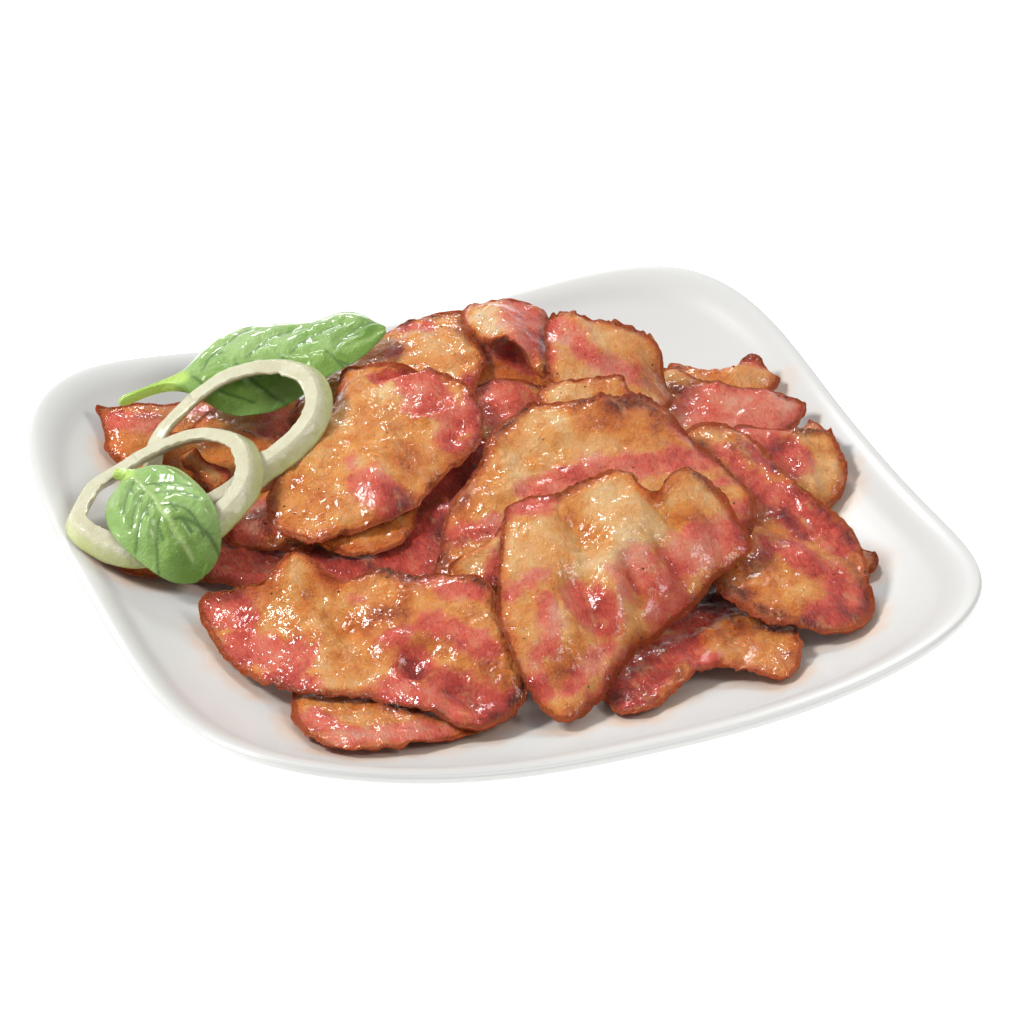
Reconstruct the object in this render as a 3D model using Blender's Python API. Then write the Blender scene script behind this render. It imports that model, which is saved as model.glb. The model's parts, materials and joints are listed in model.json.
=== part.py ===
"""Fried bacon slices heaped on a square white plate, with two onion rings and two spinach leaves.

Blender 4.5. The plate's foot stands on z = 0, its centre is at x = y = 0 and its sides run along X and Y.
Shapes below are given in millimetres and are turned into metres when the objects are made.
"""
import math

import bpy
import numpy as np

METRES = 0.001

# Plate: a rounded square whose corners rise above its sides.
PLATE_HALF_SIDE = 118.0
PLATE_SQUARENESS = 4.4
PLATE_SEGMENTS = 40
CORNER_RISE = 14.5
CORNER_RISE_POWER = 1.24
CORNER_REACH = 0.28
CORNER_FADE_POWER = 1.6
CORNER_CROWDING = 0.1
# Rings of the plate from the middle of its underside, over the rim, to the middle of its top:
# (half side, height at the middle of a side).
PLATE_UNDERSIDE = [(53.0, 3.2), (55.0, 0.0), (61.0, 0.0), (63.5, 2.6), (84.0, 6.0), (104.0, 12.0)]
PLATE_RIM = [(116.6, 18.2), (118.0, 19.8), (117.6, 21.2), (116.0, 21.6)]
PLATE_TOP = [(107.0, 17.4), (93.0, 13.0), (76.0, 9.6), (57.0, 7.8), (34.0, 7.2)]
UNDERSIDE_MIDDLE = 3.6
TOP_MIDDLE = 7.0

# Food. Sheets are thickened straight up and down, more where they slope, as far as a slope whose normal
# rises by STEEPEST.
STEEPEST = 0.5
SLICE_THICKNESS = 1.6
LEAF_THICKNESS = 0.9
LEAF_DOME = 3.2
STEM_THICKNESS = 2.0
LEAF_COLUMNS = (-1.0, -0.55, 0.0, 0.55, 1.0)
ONION_HEIGHT = 4.8
ONION_WALL = 5.2
ONION_FLARE = 0.65
ONION_STATIONS = 28
# An onion ring's cross-section, an oblong with its corners cut: shares of the wall and of the height.
ONION_SECTION = [(0.36, 0.5), (0.5, 0.34), (0.5, -0.34), (0.36, -0.5), (-0.36, -0.5), (-0.5, -0.34),
                 (-0.5, 0.34), (-0.36, 0.5)]

# How the food lies: each piece is raised just clear of what is already on the plate.
CONTACT_GAP = 0.4
HEAP_HALF_WIDTH = 130.0
BELOW_ALL = -100.0
HEAP_CELL = 0.5
SETTLE_STEPS = 90
SMOOTH_STEPS = 60
SMOOTHING = 0.35
SETTLE_SAMPLES = 8
HEAP_SAMPLES = 24
PLATE_SAMPLES = 64

# How finely curves are drawn, and the angle from which an edge is shaded sharp.
CURVE_STEPS = 24
RELAX_STEPS = 5
SHARP_ANGLE = 50.0

# Colours: linear RGB, roughness.
PORCELAIN = ((0.86, 0.87, 0.85), 0.12)
BACON_FAT = ((0.68, 0.33, 0.10), 0.35)
BACON_LEAN = ((0.52, 0.11, 0.07), 0.38)
ONION = ((0.80, 0.83, 0.56), 0.30)
SPINACH = ((0.10, 0.30, 0.03), 0.40)


def principled(name, look):
    """A Principled material of one colour and roughness."""
    colour, roughness = look
    material = bpy.data.materials.new(name)
    material.use_nodes = True
    shader = material.node_tree.nodes["Principled BSDF"]
    shader.inputs["Base Color"].default_value = (*colour, 1.0)
    shader.inputs["Roughness"].default_value = roughness
    shader.inputs["Metallic"].default_value = 0.0
    return material


def make_object(name, points, facets, look):
    """A named object from points in millimetres, shaded smooth except at its sharp edges."""
    mesh = bpy.data.meshes.new(name)
    mesh.from_pydata([tuple(point * METRES) for point in points], [], [tuple(facet) for facet in facets])
    mesh.materials.append(principled(name + "_material", look))
    mesh.shade_smooth()
    mesh.set_sharp_from_angle(angle=math.radians(SHARP_ANGLE))
    piece = bpy.data.objects.new(name, mesh)
    bpy.context.scene.collection.objects.link(piece)
    return piece


def facing_out(points, facets):
    """The facets of a closed solid, turned over if they face into it."""
    corners = points[facets]
    volume = np.einsum("fx,fx->f", corners[:, 0], np.cross(corners[:, 1], corners[:, 2])).sum()
    return facets if volume > 0.0 else facets[:, ::-1]


def facet_grid(parts):
    """Barycentric weights of points spread evenly over a triangle, parts to a side."""
    weights = []
    for i in range(parts + 1):
        for j in range(parts + 1 - i):
            weights.append((i / parts, j / parts, 1.0 - (i + j) / parts))
    return np.array(weights)


class Heap:
    """Height of the highest surface so far, on a square map of small cells."""

    def __init__(self):
        size = int(2 * HEAP_HALF_WIDTH / HEAP_CELL) + 1
        self.height = np.full((size, size), BELOW_ALL)
        self.support = self.height.copy()

    def cells(self, places):
        """Column and row of the map cell under each place."""
        index = np.rint((places[..., :2] + HEAP_HALF_WIDTH) / HEAP_CELL).astype(int)
        return index[..., 0], index[..., 1]

    def add(self, points, facets, parts):
        """Draws a solid's facets on the map; support is the map grown by one cell all round."""
        places = np.einsum("kc,fcx->fkx", facet_grid(parts), points[facets])
        column, row = self.cells(places)
        np.maximum.at(self.height, (column, row), places[..., 2])
        shifts = [(i, j) for i in (-1, 0, 1) for j in (-1, 0, 1)]
        self.support = np.max([np.roll(self.height, shift, (0, 1)) for shift in shifts], axis=0)


def settle(heap, shape, count, neighbours):
    """Smallest smooth lift of each station of a piece that keeps its facets clear of the heap.

    shape(lifts) gives the piece's points, facets and the station that each point belongs to.
    """
    weights = facet_grid(SETTLE_SAMPLES)
    share = weights / (weights ** 2).sum(axis=1, keepdims=True)
    lifts = np.zeros(count)
    for step in range(SETTLE_STEPS):
        points, facets, station = shape(lifts)
        places = np.einsum("kc,fcx->fkx", weights, points[facets])
        column, row = heap.cells(places)
        lack = heap.support[column, row] + CONTACT_GAP - places[..., 2]
        push = np.clip(lack, 0.0, None)[..., None] * np.minimum(share, 1.0)[None]
        raised = np.zeros(count)
        np.maximum.at(raised, station[facets][:, None, :].repeat(len(weights), 1), push)
        lifts += raised
        if step < SMOOTH_STEPS:
            mean = np.array([lifts[near].mean() for near in neighbours])
            lifts += SMOOTHING * (mean - lifts)
    return lifts


def lay(heap, name, shape, count, neighbours, look):
    """Settles a piece on the heap and makes its object."""
    lifts = settle(heap, shape, count, neighbours)
    points, facets, _ = shape(lifts)
    heap.add(points, facets, HEAP_SAMPLES)
    return make_object(name, points, facets, look)


def closed_curve(controls, count):
    """Points spread evenly along the closed Catmull-Rom curve through the controls."""
    controls = np.array(controls, float)
    before = np.roll(controls, 1, axis=0)
    after = np.roll(controls, -1, axis=0)
    later = np.roll(controls, -2, axis=0)
    steps = np.linspace(0.0, 1.0, CURVE_STEPS, endpoint=False)[:, None]
    curve = []
    for a, b, c, d in zip(before, controls, after, later):
        curve.append(catmull_rom(a, b, c, d, steps))
    curve = np.concatenate(curve)
    return evenly(np.vstack([curve, curve[:1]]), count + 1)[:count]


def open_curve(controls, count):
    """Points spread evenly along the open Catmull-Rom curve through the controls."""
    controls = np.array(controls, float)
    ends = np.vstack([2 * controls[0] - controls[1], controls, 2 * controls[-1] - controls[-2]])
    steps = np.linspace(0.0, 1.0, CURVE_STEPS, endpoint=False)[:, None]
    curve = [catmull_rom(*ends[k:k + 4], steps) for k in range(len(controls) - 1)]
    return evenly(np.vstack([*curve, controls[-1:]]), count)


def catmull_rom(a, b, c, d, t):
    """Points between b and c on the Catmull-Rom curve through a, b, c and d."""
    linear = (c - a) * t
    square = (2 * a - 5 * b + 4 * c - d) * t ** 2
    cube = (3 * b - a - 3 * c + d) * t ** 3
    return b + 0.5 * (linear + square + cube)


def evenly(curve, count):
    """The same curve as count points at equal distances along it."""
    lengths = np.linalg.norm(np.diff(curve, axis=0), axis=1)
    along = np.concatenate([[0.0], np.cumsum(lengths)])
    wanted = np.linspace(0.0, along[-1], count)
    return np.stack([np.interp(wanted, along, curve[:, axis]) for axis in range(3)], axis=1)


def square_to_rim(cells):
    """For each point of a square grid: how far out it lies (0 to 1) and its share of the way round."""
    side = np.linspace(-1.0, 1.0, cells + 1)
    across, up = np.meshgrid(side, side, indexing="ij")
    out = np.maximum(abs(across), abs(up))
    safe = np.where(out == 0.0, 1.0, out)
    a = across / safe
    b = up / safe
    turn = np.where(b <= -1.0, a + 1.0, np.where(a >= 1.0, b + 3.0, np.where(b >= 1.0, 5.0 - a, 7.0 - b)))
    return out, (turn / 8.0) % 1.0


def sheet_facets(rows, columns):
    """Triangles of a sheet's upper face, its lower face and its edge band."""
    index = np.arange(rows * columns).reshape(rows, columns)
    upper = []
    for i in range(rows - 1):
        for j in range(columns - 1):
            a, b, c, d = index[i, j], index[i + 1, j], index[i + 1, j + 1], index[i, j + 1]
            upper += [(a, b, c), (a, c, d)]
    upper = np.array(upper)
    under = upper[:, ::-1] + rows * columns
    rim = [*index[:, 0], *index[-1, 1:], *index[-2::-1, -1], *index[0, -2:0:-1]]
    band = []
    for a, b in zip(rim, rim[1:] + rim[:1]):
        band += [(a, a + rows * columns, b + rows * columns), (a, b + rows * columns, b)]
    return upper, np.concatenate([upper, under, np.array(band)])


def sheet_shape(middle, thickness):
    """A thin sheet as a closed solid, from the grid of points midway through its thickness.

    Gives the function that settle needs, the number of stations and each station's neighbours.
    """
    rows, columns = middle.shape[:2]
    upper, facets = sheet_facets(rows, columns)
    flat = middle.reshape(-1, 3)
    thickness = np.broadcast_to(thickness, (rows, columns))
    a, b, c = (flat[upper[:, k]] for k in range(3))
    if np.cross(b - a, c - a)[:, 2].sum() < 0.0:
        facets = facets[:, ::-1]
        upper = upper[:, ::-1]
    station = np.tile(np.arange(rows * columns), 2)

    def shape(lifts):
        points = flat.copy()
        points[:, 2] += lifts
        normals = np.zeros_like(points)
        corners = points[upper]
        crossed = np.cross(corners[:, 1] - corners[:, 0], corners[:, 2] - corners[:, 0])
        for k in range(3):
            np.add.at(normals, upper[:, k], crossed)
        normals /= np.linalg.norm(normals, axis=1, keepdims=True)
        half = np.zeros_like(points)
        half[:, 2] = 0.5 * np.ravel(thickness) / np.maximum(normals[:, 2], STEEPEST)
        return np.concatenate([points + half, points - half]), facets, station

    index = np.arange(rows * columns).reshape(rows, columns)
    neighbours = []
    for i in range(rows):
        for j in range(columns):
            near = [(i - 1, j), (i + 1, j), (i, j - 1), (i, j + 1)]
            neighbours.append([index[p, q] for p, q in near if 0 <= p < rows and 0 <= q < columns])
    return shape, rows * columns, neighbours


def turned_to_corners(rim, cells):
    """The rim, started where its grid's four corners lie on the places that bend outwards most."""
    before = rim - np.roll(rim, 1, axis=0)
    after = np.roll(rim, -1, axis=0) - rim
    bend = before[:, 0] * after[:, 1] - before[:, 1] * after[:, 0]
    around = np.roll(rim, -1, axis=0)
    area = (rim[:, 0] * around[:, 1] - rim[:, 1] * around[:, 0]).sum()
    corners = (bend * math.copysign(1.0, area)).reshape(4, cells)
    return np.roll(rim, -int(corners.min(axis=0).argmax()), axis=0)


def relaxed(middle):
    """The grid with its inner points evened out, seen from above, so that none of its cells is folded."""
    for _ in range(RELAX_STEPS):
        across = middle[:-2, 1:-1, :2] + middle[2:, 1:-1, :2]
        along = middle[1:-1, :-2, :2] + middle[1:-1, 2:, :2]
        middle[1:-1, 1:-1, :2] = 0.25 * (across + along)
    return middle


def fold_height(places, fold):
    """Height added by a soft ridge, or a groove if its height is below 0, along a straight line."""
    x0, y0, x1, y1, height, width = fold
    start = np.array([x0, y0])
    run = np.array([x1 - x0, y1 - y0])
    along = np.clip(((places - start) @ run) / (run @ run), 0.0, 1.0)
    gap = np.linalg.norm(places - start - along[..., None] * run, axis=-1)
    return height * np.exp(-(gap / width) ** 2)


def bacon_slice(heap, name, outline, cells=6, crown=2.0, folds=(), look=BACON_FAT):
    """A slice of bacon: its outline is filled with a gently domed sheet, with folds across it.

    Each outline point is (x, y, height above the table) at the slice's edge.
    """
    rim = turned_to_corners(closed_curve(outline, 4 * cells), cells)
    out, turn = square_to_rim(cells)
    fraction = turn * 4 * cells
    lower = np.floor(fraction).astype(int)
    blend = (fraction - lower)[..., None]
    on_rim = rim[lower % (4 * cells)] * (1.0 - blend) + rim[(lower + 1) % (4 * cells)] * blend
    centre = rim.mean(axis=0)
    middle = relaxed(centre + out[..., None] * (on_rim - centre))
    plane, *_ = np.linalg.lstsq(np.c_[rim[:, :2], np.ones(len(rim))], rim[:, 2], rcond=None)
    flat_height = middle[..., :2] @ plane[:2] + plane[2]
    rim_height = on_rim[..., :2] @ plane[:2] + plane[2]
    middle[..., 2] = flat_height + out ** 2 * (on_rim[..., 2] - rim_height) + crown * (1.0 - out ** 2)
    for fold in folds:
        middle[..., 2] += fold_height(middle[..., :2], fold)
    shape, count, neighbours = sheet_shape(middle, SLICE_THICKNESS)
    return lay(heap, name, shape, count, neighbours, look)


def spinach_leaf(heap, name, back_edge, midrib, front_edge, stations, stem_stations):
    """A leaf: a stem that widens into a blade, spanned between its midrib and its two edges."""
    back = open_curve(back_edge, stations)
    middle = open_curve(midrib, stations)
    front = open_curve(front_edge, stations)
    columns = []
    for share in LEAF_COLUMNS:
        side = back if share < 0.0 else front
        column = middle + abs(share) * (side - middle)
        column[:, 2] += LEAF_DOME * (abs(share) - share ** 2)
        columns.append(column)
    grid = np.stack(columns, axis=1)
    thickness = np.full(grid.shape[:2], LEAF_THICKNESS)
    thickness[:stem_stations] = STEM_THICKNESS
    shape, count, neighbours = sheet_shape(grid, thickness)
    return lay(heap, name, shape, count, neighbours, SPINACH)


def onion_ring(heap, name, cut_face):
    """An onion ring, swept round the middle line of its upper cut face; its wall flares outwards below it."""
    path = closed_curve(cut_face, ONION_STATIONS)
    ahead = np.roll(path, -1, axis=0) - np.roll(path, 1, axis=0)
    ahead /= np.linalg.norm(ahead, axis=1, keepdims=True)
    axis = np.linalg.svd(path - path.mean(axis=0))[2][2]
    outward = np.cross(ahead, axis)
    outward *= math.copysign(1.0, ((path - path.mean(axis=0)) * outward).sum())
    outward /= np.linalg.norm(outward, axis=1, keepdims=True)
    upward = np.cross(outward, ahead)
    upward *= np.copysign(1.0, upward[:, 2:])
    sides = len(ONION_SECTION)
    turns = np.arange(ONION_STATIONS * sides).reshape(ONION_STATIONS, sides)
    facets = []
    for i in range(ONION_STATIONS):
        for j in range(sides):
            a, b = turns[i, j], turns[(i + 1) % ONION_STATIONS, j]
            c, d = turns[(i + 1) % ONION_STATIONS, (j + 1) % sides], turns[i, (j + 1) % sides]
            facets += [(a, c, b), (a, d, c)]
    facets = np.array(facets)
    station = np.repeat(np.arange(ONION_STATIONS), sides)
    rings = []
    for across, up in ONION_SECTION:
        drop = ONION_HEIGHT * (0.5 - up)
        rings.append(path + (across * ONION_WALL + ONION_FLARE * drop) * outward - drop * upward)
    band = np.stack(rings, axis=1)

    def shape(lifts):
        points = band.copy()
        points[..., 2] += lifts[:, None]
        points = points.reshape(-1, 3)
        return points, facing_out(points, facets), station

    neighbours = [[(i - 1) % ONION_STATIONS, (i + 1) % ONION_STATIONS] for i in range(ONION_STATIONS)]
    return lay(heap, name, shape, ONION_STATIONS, neighbours, ONION)


def plate_ring(half_side, height):
    """One closed line of the plate: a rounded square, higher towards the plate's corners."""
    turn = np.arange(PLATE_SEGMENTS) * 2.0 * math.pi / PLATE_SEGMENTS
    angle = turn + CORNER_CROWDING * np.sin(4.0 * turn)
    across = abs(np.cos(angle)) ** PLATE_SQUARENESS
    along = abs(np.sin(angle)) ** PLATE_SQUARENESS
    reach = (across + along) ** (-1.0 / PLATE_SQUARENESS)
    share = half_side / PLATE_HALF_SIDE
    corner = ((reach - 1.0) / CORNER_REACH).clip(0.0) ** CORNER_RISE_POWER
    rise = CORNER_RISE * corner * np.clip(2.0 * share - 1.0, 0.0, 1.0) ** CORNER_FADE_POWER
    radius = half_side * reach
    return np.stack([radius * np.cos(angle), radius * np.sin(angle), height + rise], axis=1)


def plate(heap):
    """The plate: rings joined from the middle of the underside out over the rim and back in on top."""
    rings = [plate_ring(*ring) for ring in PLATE_UNDERSIDE + PLATE_RIM + PLATE_TOP]
    middles = [(0.0, 0.0, UNDERSIDE_MIDDLE), (0.0, 0.0, TOP_MIDDLE)]
    points = np.vstack([*rings, middles])
    index = np.arange(len(rings) * PLATE_SEGMENTS).reshape(len(rings), PLATE_SEGMENTS)
    facets = []
    for i in range(PLATE_SEGMENTS):
        j = (i + 1) % PLATE_SEGMENTS
        for inner, outer in zip(index[:-1], index[1:]):
            facets += [(inner[i], outer[j], outer[i]), (inner[i], inner[j], outer[j])]
        facets.append((index[0, j], index[0, i], len(points) - 2))
        facets.append((index[-1, i], index[-1, j], len(points) - 1))
    facets = facing_out(points, np.array(facets))
    heap.add(points, facets, PLATE_SAMPLES)
    return make_object("plate", points, facets, PORCELAIN)


def lay_plate_layer(heap):
    """The slices that lie straight on the plate."""
    bacon_slice(heap, "slice_left_base", [
        (-109, 29, 17), (-107, 23, 16), (-98, 15, 13), (-86, 17, 12), (-76, 6, 12), (-66, -3, 13),
        (-58, -6, 13), (-52, 12, 14), (-62, 34, 15), (-85, 42, 14), (-100, 40, 16)
    ], cells=8, crown=1.0, look=BACON_LEAN)
    bacon_slice(heap, "slice_back_left_base", [
        (-91, 92, 27), (-82, 90, 27), (-70, 90, 26), (-53, 88, 24.5), (-55, 71, 24), (-47, 69, 23),
        (-46, 58, 20), (-50, 42, 16), (-66, 46, 15), (-84, 62, 16), (-92, 78, 21), (-92, 77, 20),
        (-89, 83, 23)
    ])
    bacon_slice(heap, "slice_back_brown", [
        (-76, 71, 22), (-67, 73, 23), (-56, 79, 26), (-44, 81, 27), (-31, 75, 28), (-34, 56, 24),
        (-46, 42, 19), (-60, 38, 18), (-70, 48, 18), (-80, 58, 18), (-81, 66, 19)
    ])
    bacon_slice(heap, "slice_front_left_base", [
        (-81, -57, 13), (-83, -68, 13), (-81, -89, 14), (-64, -92, 14), (-47, -88, 13), (-33, -85, 12),
        (-21, -79, 12), (-22, -58, 11), (-45, -46, 10), (-70, -44, 11)
    ], crown=1.0, look=BACON_LEAN)
    bacon_slice(heap, "slice_front_right_base", [
        (0, -84, 12), (1, -92, 12), (7, -95, 12), (15, -91, 13), (23, -85, 14), (28, -82, 14),
        (35, -82, 15), (39, -88, 15), (43, -96, 15), (48, -99, 15), (54, -92, 15), (60, -82, 16),
        (63, -60, 15), (58, -32, 15), (34, -34, 14), (10, -54, 13)
    ], cells=8, crown=1.0, look=BACON_LEAN)


def lay_right_side(heap):
    """The slices of the heap's right flank."""
    bacon_slice(heap, "slice_back_right_far", [
        (78, 61, 25), (82, 55, 26), (90, 51, 25), (96, 51, 25), (102, 53, 27), (105, 49, 25),
        (104, 45, 23), (109, 43, 22), (102, 38, 22), (86, 30, 21), (66, 38, 21)
    ])
    bacon_slice(heap, "slice_back_right_lean", [
        (75, 56, 27), (81, 43, 28), (90, 35, 28), (102, 30, 26), (109, 24, 24), (103, 19, 23),
        (96, 13, 22), (87, 9, 23), (70, 0, 22), (52, 14, 22), (52, 42, 24)
    ], cells=8, crown=1.5, look=BACON_LEAN)
    bacon_slice(heap, "slice_right_curl", [
        (104, 18, 22), (106, 12, 22), (107, 3, 22), (107, -6, 20), (104, -12, 17), (98, -18, 15),
        (90, -22, 14), (80, -14, 15), (76, 0, 16), (80, 18, 19), (98, 11, 21)
    ], crown=3.0, look=BACON_FAT)
    bacon_slice(heap, "slice_right_tip", [
        (93, -43, 16), (97, -48, 17), (95, -55, 16), (90, -58, 15), (80, -50, 14), (70, -40, 14),
        (80, -26, 16)
    ], cells=4, crown=1.0, look=BACON_LEAN)
    bacon_slice(heap, "slice_right", [
        (66, 14, 33), (79, 2, 33), (81, -8, 32), (82, -26, 31), (88, -41, 28), (90, -51, 25),
        (87, -65, 21), (85, -74, 16), (78, -84, 14), (68, -84, 14), (62, -78, 14), (52, -73, 16),
        (45, -62, 20), (44, -50, 21), (38, -25, 24), (50, 0, 28)
    ], cells=8, crown=2.0, folds=[(66, -22, 82, -49, -4.0, 6.0)], look=BACON_LEAN)


def lay_left_side(heap):
    """The small pieces between the onion rings and the heap."""
    bacon_slice(heap, "slice_left_pink", [
        (-70, 32, 19), (-65, 35, 21), (-55, 39, 23), (-49, 34, 24), (-46, 26, 21), (-44, 10, 18),
        (-54, 10, 17), (-63, 17, 16), (-72, 21, 16)
    ], crown=1.0, look=BACON_LEAN)
    bacon_slice(heap, "slice_small_wavy", [
        (-73, 61, 26), (-69, 58, 28), (-66, 51, 27), (-62, 48, 26), (-64, 43, 24), (-69, 43, 23),
        (-71, 49, 24), (-74, 55, 25)
    ], crown=0.5, folds=[(-72, 58, -60, 58, 1.5, 2.5)], look=BACON_LEAN)


def lay_back(heap):
    """The slices of the heap's back; the middle one arches over a hollow."""
    bacon_slice(heap, "slice_back_low", [
        (18, 66, 36), (21, 73, 39), (27, 76, 41), (34, 71, 41), (39, 60, 40), (39, 46, 36), (40, 28, 32),
        (15, 26, 31), (4, 36, 33), (8, 52, 34)
    ])
    bacon_slice(heap, "slice_mid_lean", [
        (14, 49, 38), (20, 47, 39), (27, 42, 39), (33, 39, 38), (33, 34, 36), (36, 14, 33),
        (16, 2, 30), (-8, 0, 26), (-21, 10, 26), (-17, 28, 29), (0, 42, 35)
    ], cells=8, crown=1.0, look=BACON_LEAN)
    bacon_slice(heap, "slice_back_left", [
        (-18, 78, 33), (-8, 85, 35), (2, 87, 38), (13, 86, 40), (23.5, 82, 42), (20.5, 70, 40.5),
        (19, 60, 40), (19, 53, 38), (13, 45, 38), (8, 40, 33), (-10, 38, 31), (-30, 46, 27),
        (-40, 57, 26), (-33, 71, 29)
    ], cells=8, crown=3.0, look=BACON_FAT)
    bacon_slice(heap, "slice_back_middle", [
        (19, 78, 43), (26, 78, 46), (34, 75, 47), (42, 67, 46), (37, 52, 43), (32, 38, 39),
        (28, 40, 38), (26, 46, 44), (22, 52, 46), (19, 58, 42), (17, 67, 42)
    ], cells=8, crown=3.0, folds=[(27, 64, 26, 50, 3.0, 6.0)], look=BACON_LEAN)
    bacon_slice(heap, "slice_back_right", [
        (40, 61, 47), (48, 58, 47), (58, 54, 45), (65, 50, 44), (68, 46, 42), (70, 43, 38),
        (68, 39, 32), (70, 34, 28), (56, 20, 32), (40, 18, 34), (30, 33, 40), (33, 47, 43)
    ], cells=8, crown=3.0, look=BACON_FAT)


def lay_middle(heap):
    """The slices across the middle of the heap."""
    bacon_slice(heap, "slice_low_dark", [
        (-55, 9, 19), (-43, 7, 19), (-27, 5, 20), (-15, 8, 24), (-6, -2, 25), (-8, -12, 23),
        (-18, -36, 19), (-40, -36, 15), (-58, -22, 14)
    ])
    bacon_slice(heap, "slice_golden_edge", [
        (22, 26, 44), (31, 27, 46), (42, 25, 47), (50, 24, 46), (48, 16, 45), (56, 6, 38), (40, 0, 38),
        (26, 8, 39)
    ])
    bacon_slice(heap, "slice_centre", [
        (-29, -32, 25), (-22, -15, 28), (-17, -4, 32), (-8, 2, 36), (0, 9, 39), (6, 17, 42),
        (16, 21, 44), (25, 20, 45), (38, 15, 46), (51, 13, 45), (56, 8, 42), (59, 1, 39), (61, -7, 36),
        (66, -18, 33), (68, -31, 30), (66, -35, 27), (50, -52, 23), (22, -58, 20), (-8, -52, 21)
    ], cells=10, crown=2.0, folds=[(0, 2, 34, 0, -1.5, 7.0)], look=BACON_FAT)
    bacon_slice(heap, "slice_centre_flap", [
        (-17, -44, 31), (-22, -39, 29), (-26, -31, 29), (-24, -29, 31), (-18, -31, 34), (-12, -30, 36),
        (-8, -25, 38), (0, -30, 37), (-2, -45, 32)
    ])
    bacon_slice(heap, "slice_mid_left_under", [
        (-56, 6, 21), (-49, 1, 20), (-45, -5, 20), (-37, -8, 20), (-29, -8, 21), (-23, 0, 24),
        (-16, 14, 26), (-38, 16, 24), (-50, 10, 22)
    ])
    bacon_slice(heap, "slice_mid_left", [
        (-27, 57, 38), (-22, 66, 41), (-13, 61, 43), (-7, 58, 44), (2, 47, 45), (8, 40, 44),
        (8, 29, 42), (4, 17, 38), (-2, 12, 36), (-12, 9, 32), (-20, 2, 28), (-29, -3, 25),
        (-42, -1, 24), (-52, 0, 23), (-59, 8, 23), (-62, 16, 25), (-57, 29, 28), (-46, 39, 33),
        (-37, 46, 36)
    ], cells=10, crown=3.5, folds=[(-34, 14, -24, 26, 2.0, 7.0)], look=BACON_FAT)


def lay_garnish(heap):
    """The spinach leaves and onion rings at the back left."""
    back_edge = [
        (-84, 84.9, 32), (-70, 82.1, 37), (-62, 84, 40), (-51, 94, 42), (-38, 93, 44), (-23, 88, 45),
        (-11, 88, 46), (-5, 74, 46)
    ]
    midrib = [
        (-84, 84, 32), (-70, 81, 37), (-62, 79, 40), (-52, 78, 43), (-41, 74, 45), (-29, 70, 46),
        (-17, 71, 46), (-6, 72, 46)
    ]
    front_edge = [
        (-84, 83.1, 32), (-70, 79.9, 37), (-62, 70, 36), (-57, 62, 34), (-43, 59, 35), (-29, 60, 41),
        (-16, 64, 43), (-6, 71, 46)
    ]
    spinach_leaf(heap, "spinach_leaf_large", back_edge, midrib, front_edge, stations=18, stem_stations=4)
    onion_ring(heap, "onion_ring_large", [
        (-82, 57, 20), (-79, 64, 22), (-71, 66, 29), (-60, 66, 36), (-49, 65, 41), (-41, 61, 43),
        (-37, 52, 43), (-38, 45, 40), (-43, 39, 36), (-50, 36, 31), (-60, 34, 27), (-67, 31, 24),
        (-75, 31, 21), (-80, 34, 19), (-84, 44, 18)
    ])
    onion_ring(heap, "onion_ring_small", [
        (-106, 44, 23), (-102, 48, 25), (-95, 51, 27), (-86, 53, 30), (-77, 53, 32), (-70, 51, 34),
        (-64, 44, 35), (-63, 34, 35), (-65, 27, 34), (-70, 21, 32), (-77, 18, 29), (-84, 17, 26),
        (-93, 18, 23), (-101, 20, 21), (-107, 24, 21), (-111, 33, 22)
    ])
    back_edge = [
        (-96.3, 47.7, 31), (-92.3, 43.7, 32), (-84, 45, 33), (-79, 37, 33), (-77, 21, 31),
        (-76, 14, 24), (-77, 10, 15), (-83, 7.5, 12)
    ]
    midrib = [
        (-97, 47, 31), (-93, 43, 32), (-92, 38, 32), (-90, 28, 32), (-88, 18, 31), (-86, 14, 25),
        (-84, 10, 16), (-84, 7, 12)
    ]
    front_edge = [
        (-97.7, 46.3, 31), (-93.8, 42.2, 32), (-98, 41, 30), (-104, 34, 27), (-105, 22, 24),
        (-100, 13, 19), (-94, 7, 14), (-85, 7.5, 12)
    ]
    spinach_leaf(heap, "spinach_leaf_small", back_edge, midrib, front_edge, stations=12, stem_stations=2)


def lay_front(heap):
    """The two large slices on top, towards the front."""
    bacon_slice(heap, "slice_front_left", [
        (-89, -2, 18), (-81, -11, 25), (-72, -16, 30), (-63, -11, 33), (-58, -18, 32), (-56, -25, 29),
        (-42, -23, 30), (-31, -32, 29), (-19, -41, 29), (-17, -50, 27), (-18, -68, 20), (-19, -79, 14),
        (-29, -86, 12), (-40, -88, 12), (-50, -77, 14), (-60, -66, 15), (-73, -62, 14), (-83, -50, 14),
        (-89, -34, 14), (-90, -17, 14)
    ], cells=12, crown=2.0,
       folds=[(-62, -26, -58, -38, -4.0, 5.0), (-34, -40, -20, -66, 2.0, 7.0)],
       look=BACON_FAT)
    bacon_slice(heap, "slice_front_right", [
        (-4, -20, 40), (6, -26, 43), (17, -24, 46), (30, -24, 47), (33, -36, 45), (46, -26, 45),
        (55, -34, 40), (57, -46, 34), (58, -52, 30), (45, -56, 24), (31, -63, 19), (17, -68, 16),
        (0, -84, 13), (-15, -93, 12), (-20, -83, 14), (-22, -72, 19), (-21, -56, 26), (-14, -40, 34)
    ], cells=12, crown=3.0,
       folds=[(21, -26, -4, -56, -1.6, 6.0), (36, -34, 10, -62, 1.6, 5.0)],
       look=BACON_FAT)


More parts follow.
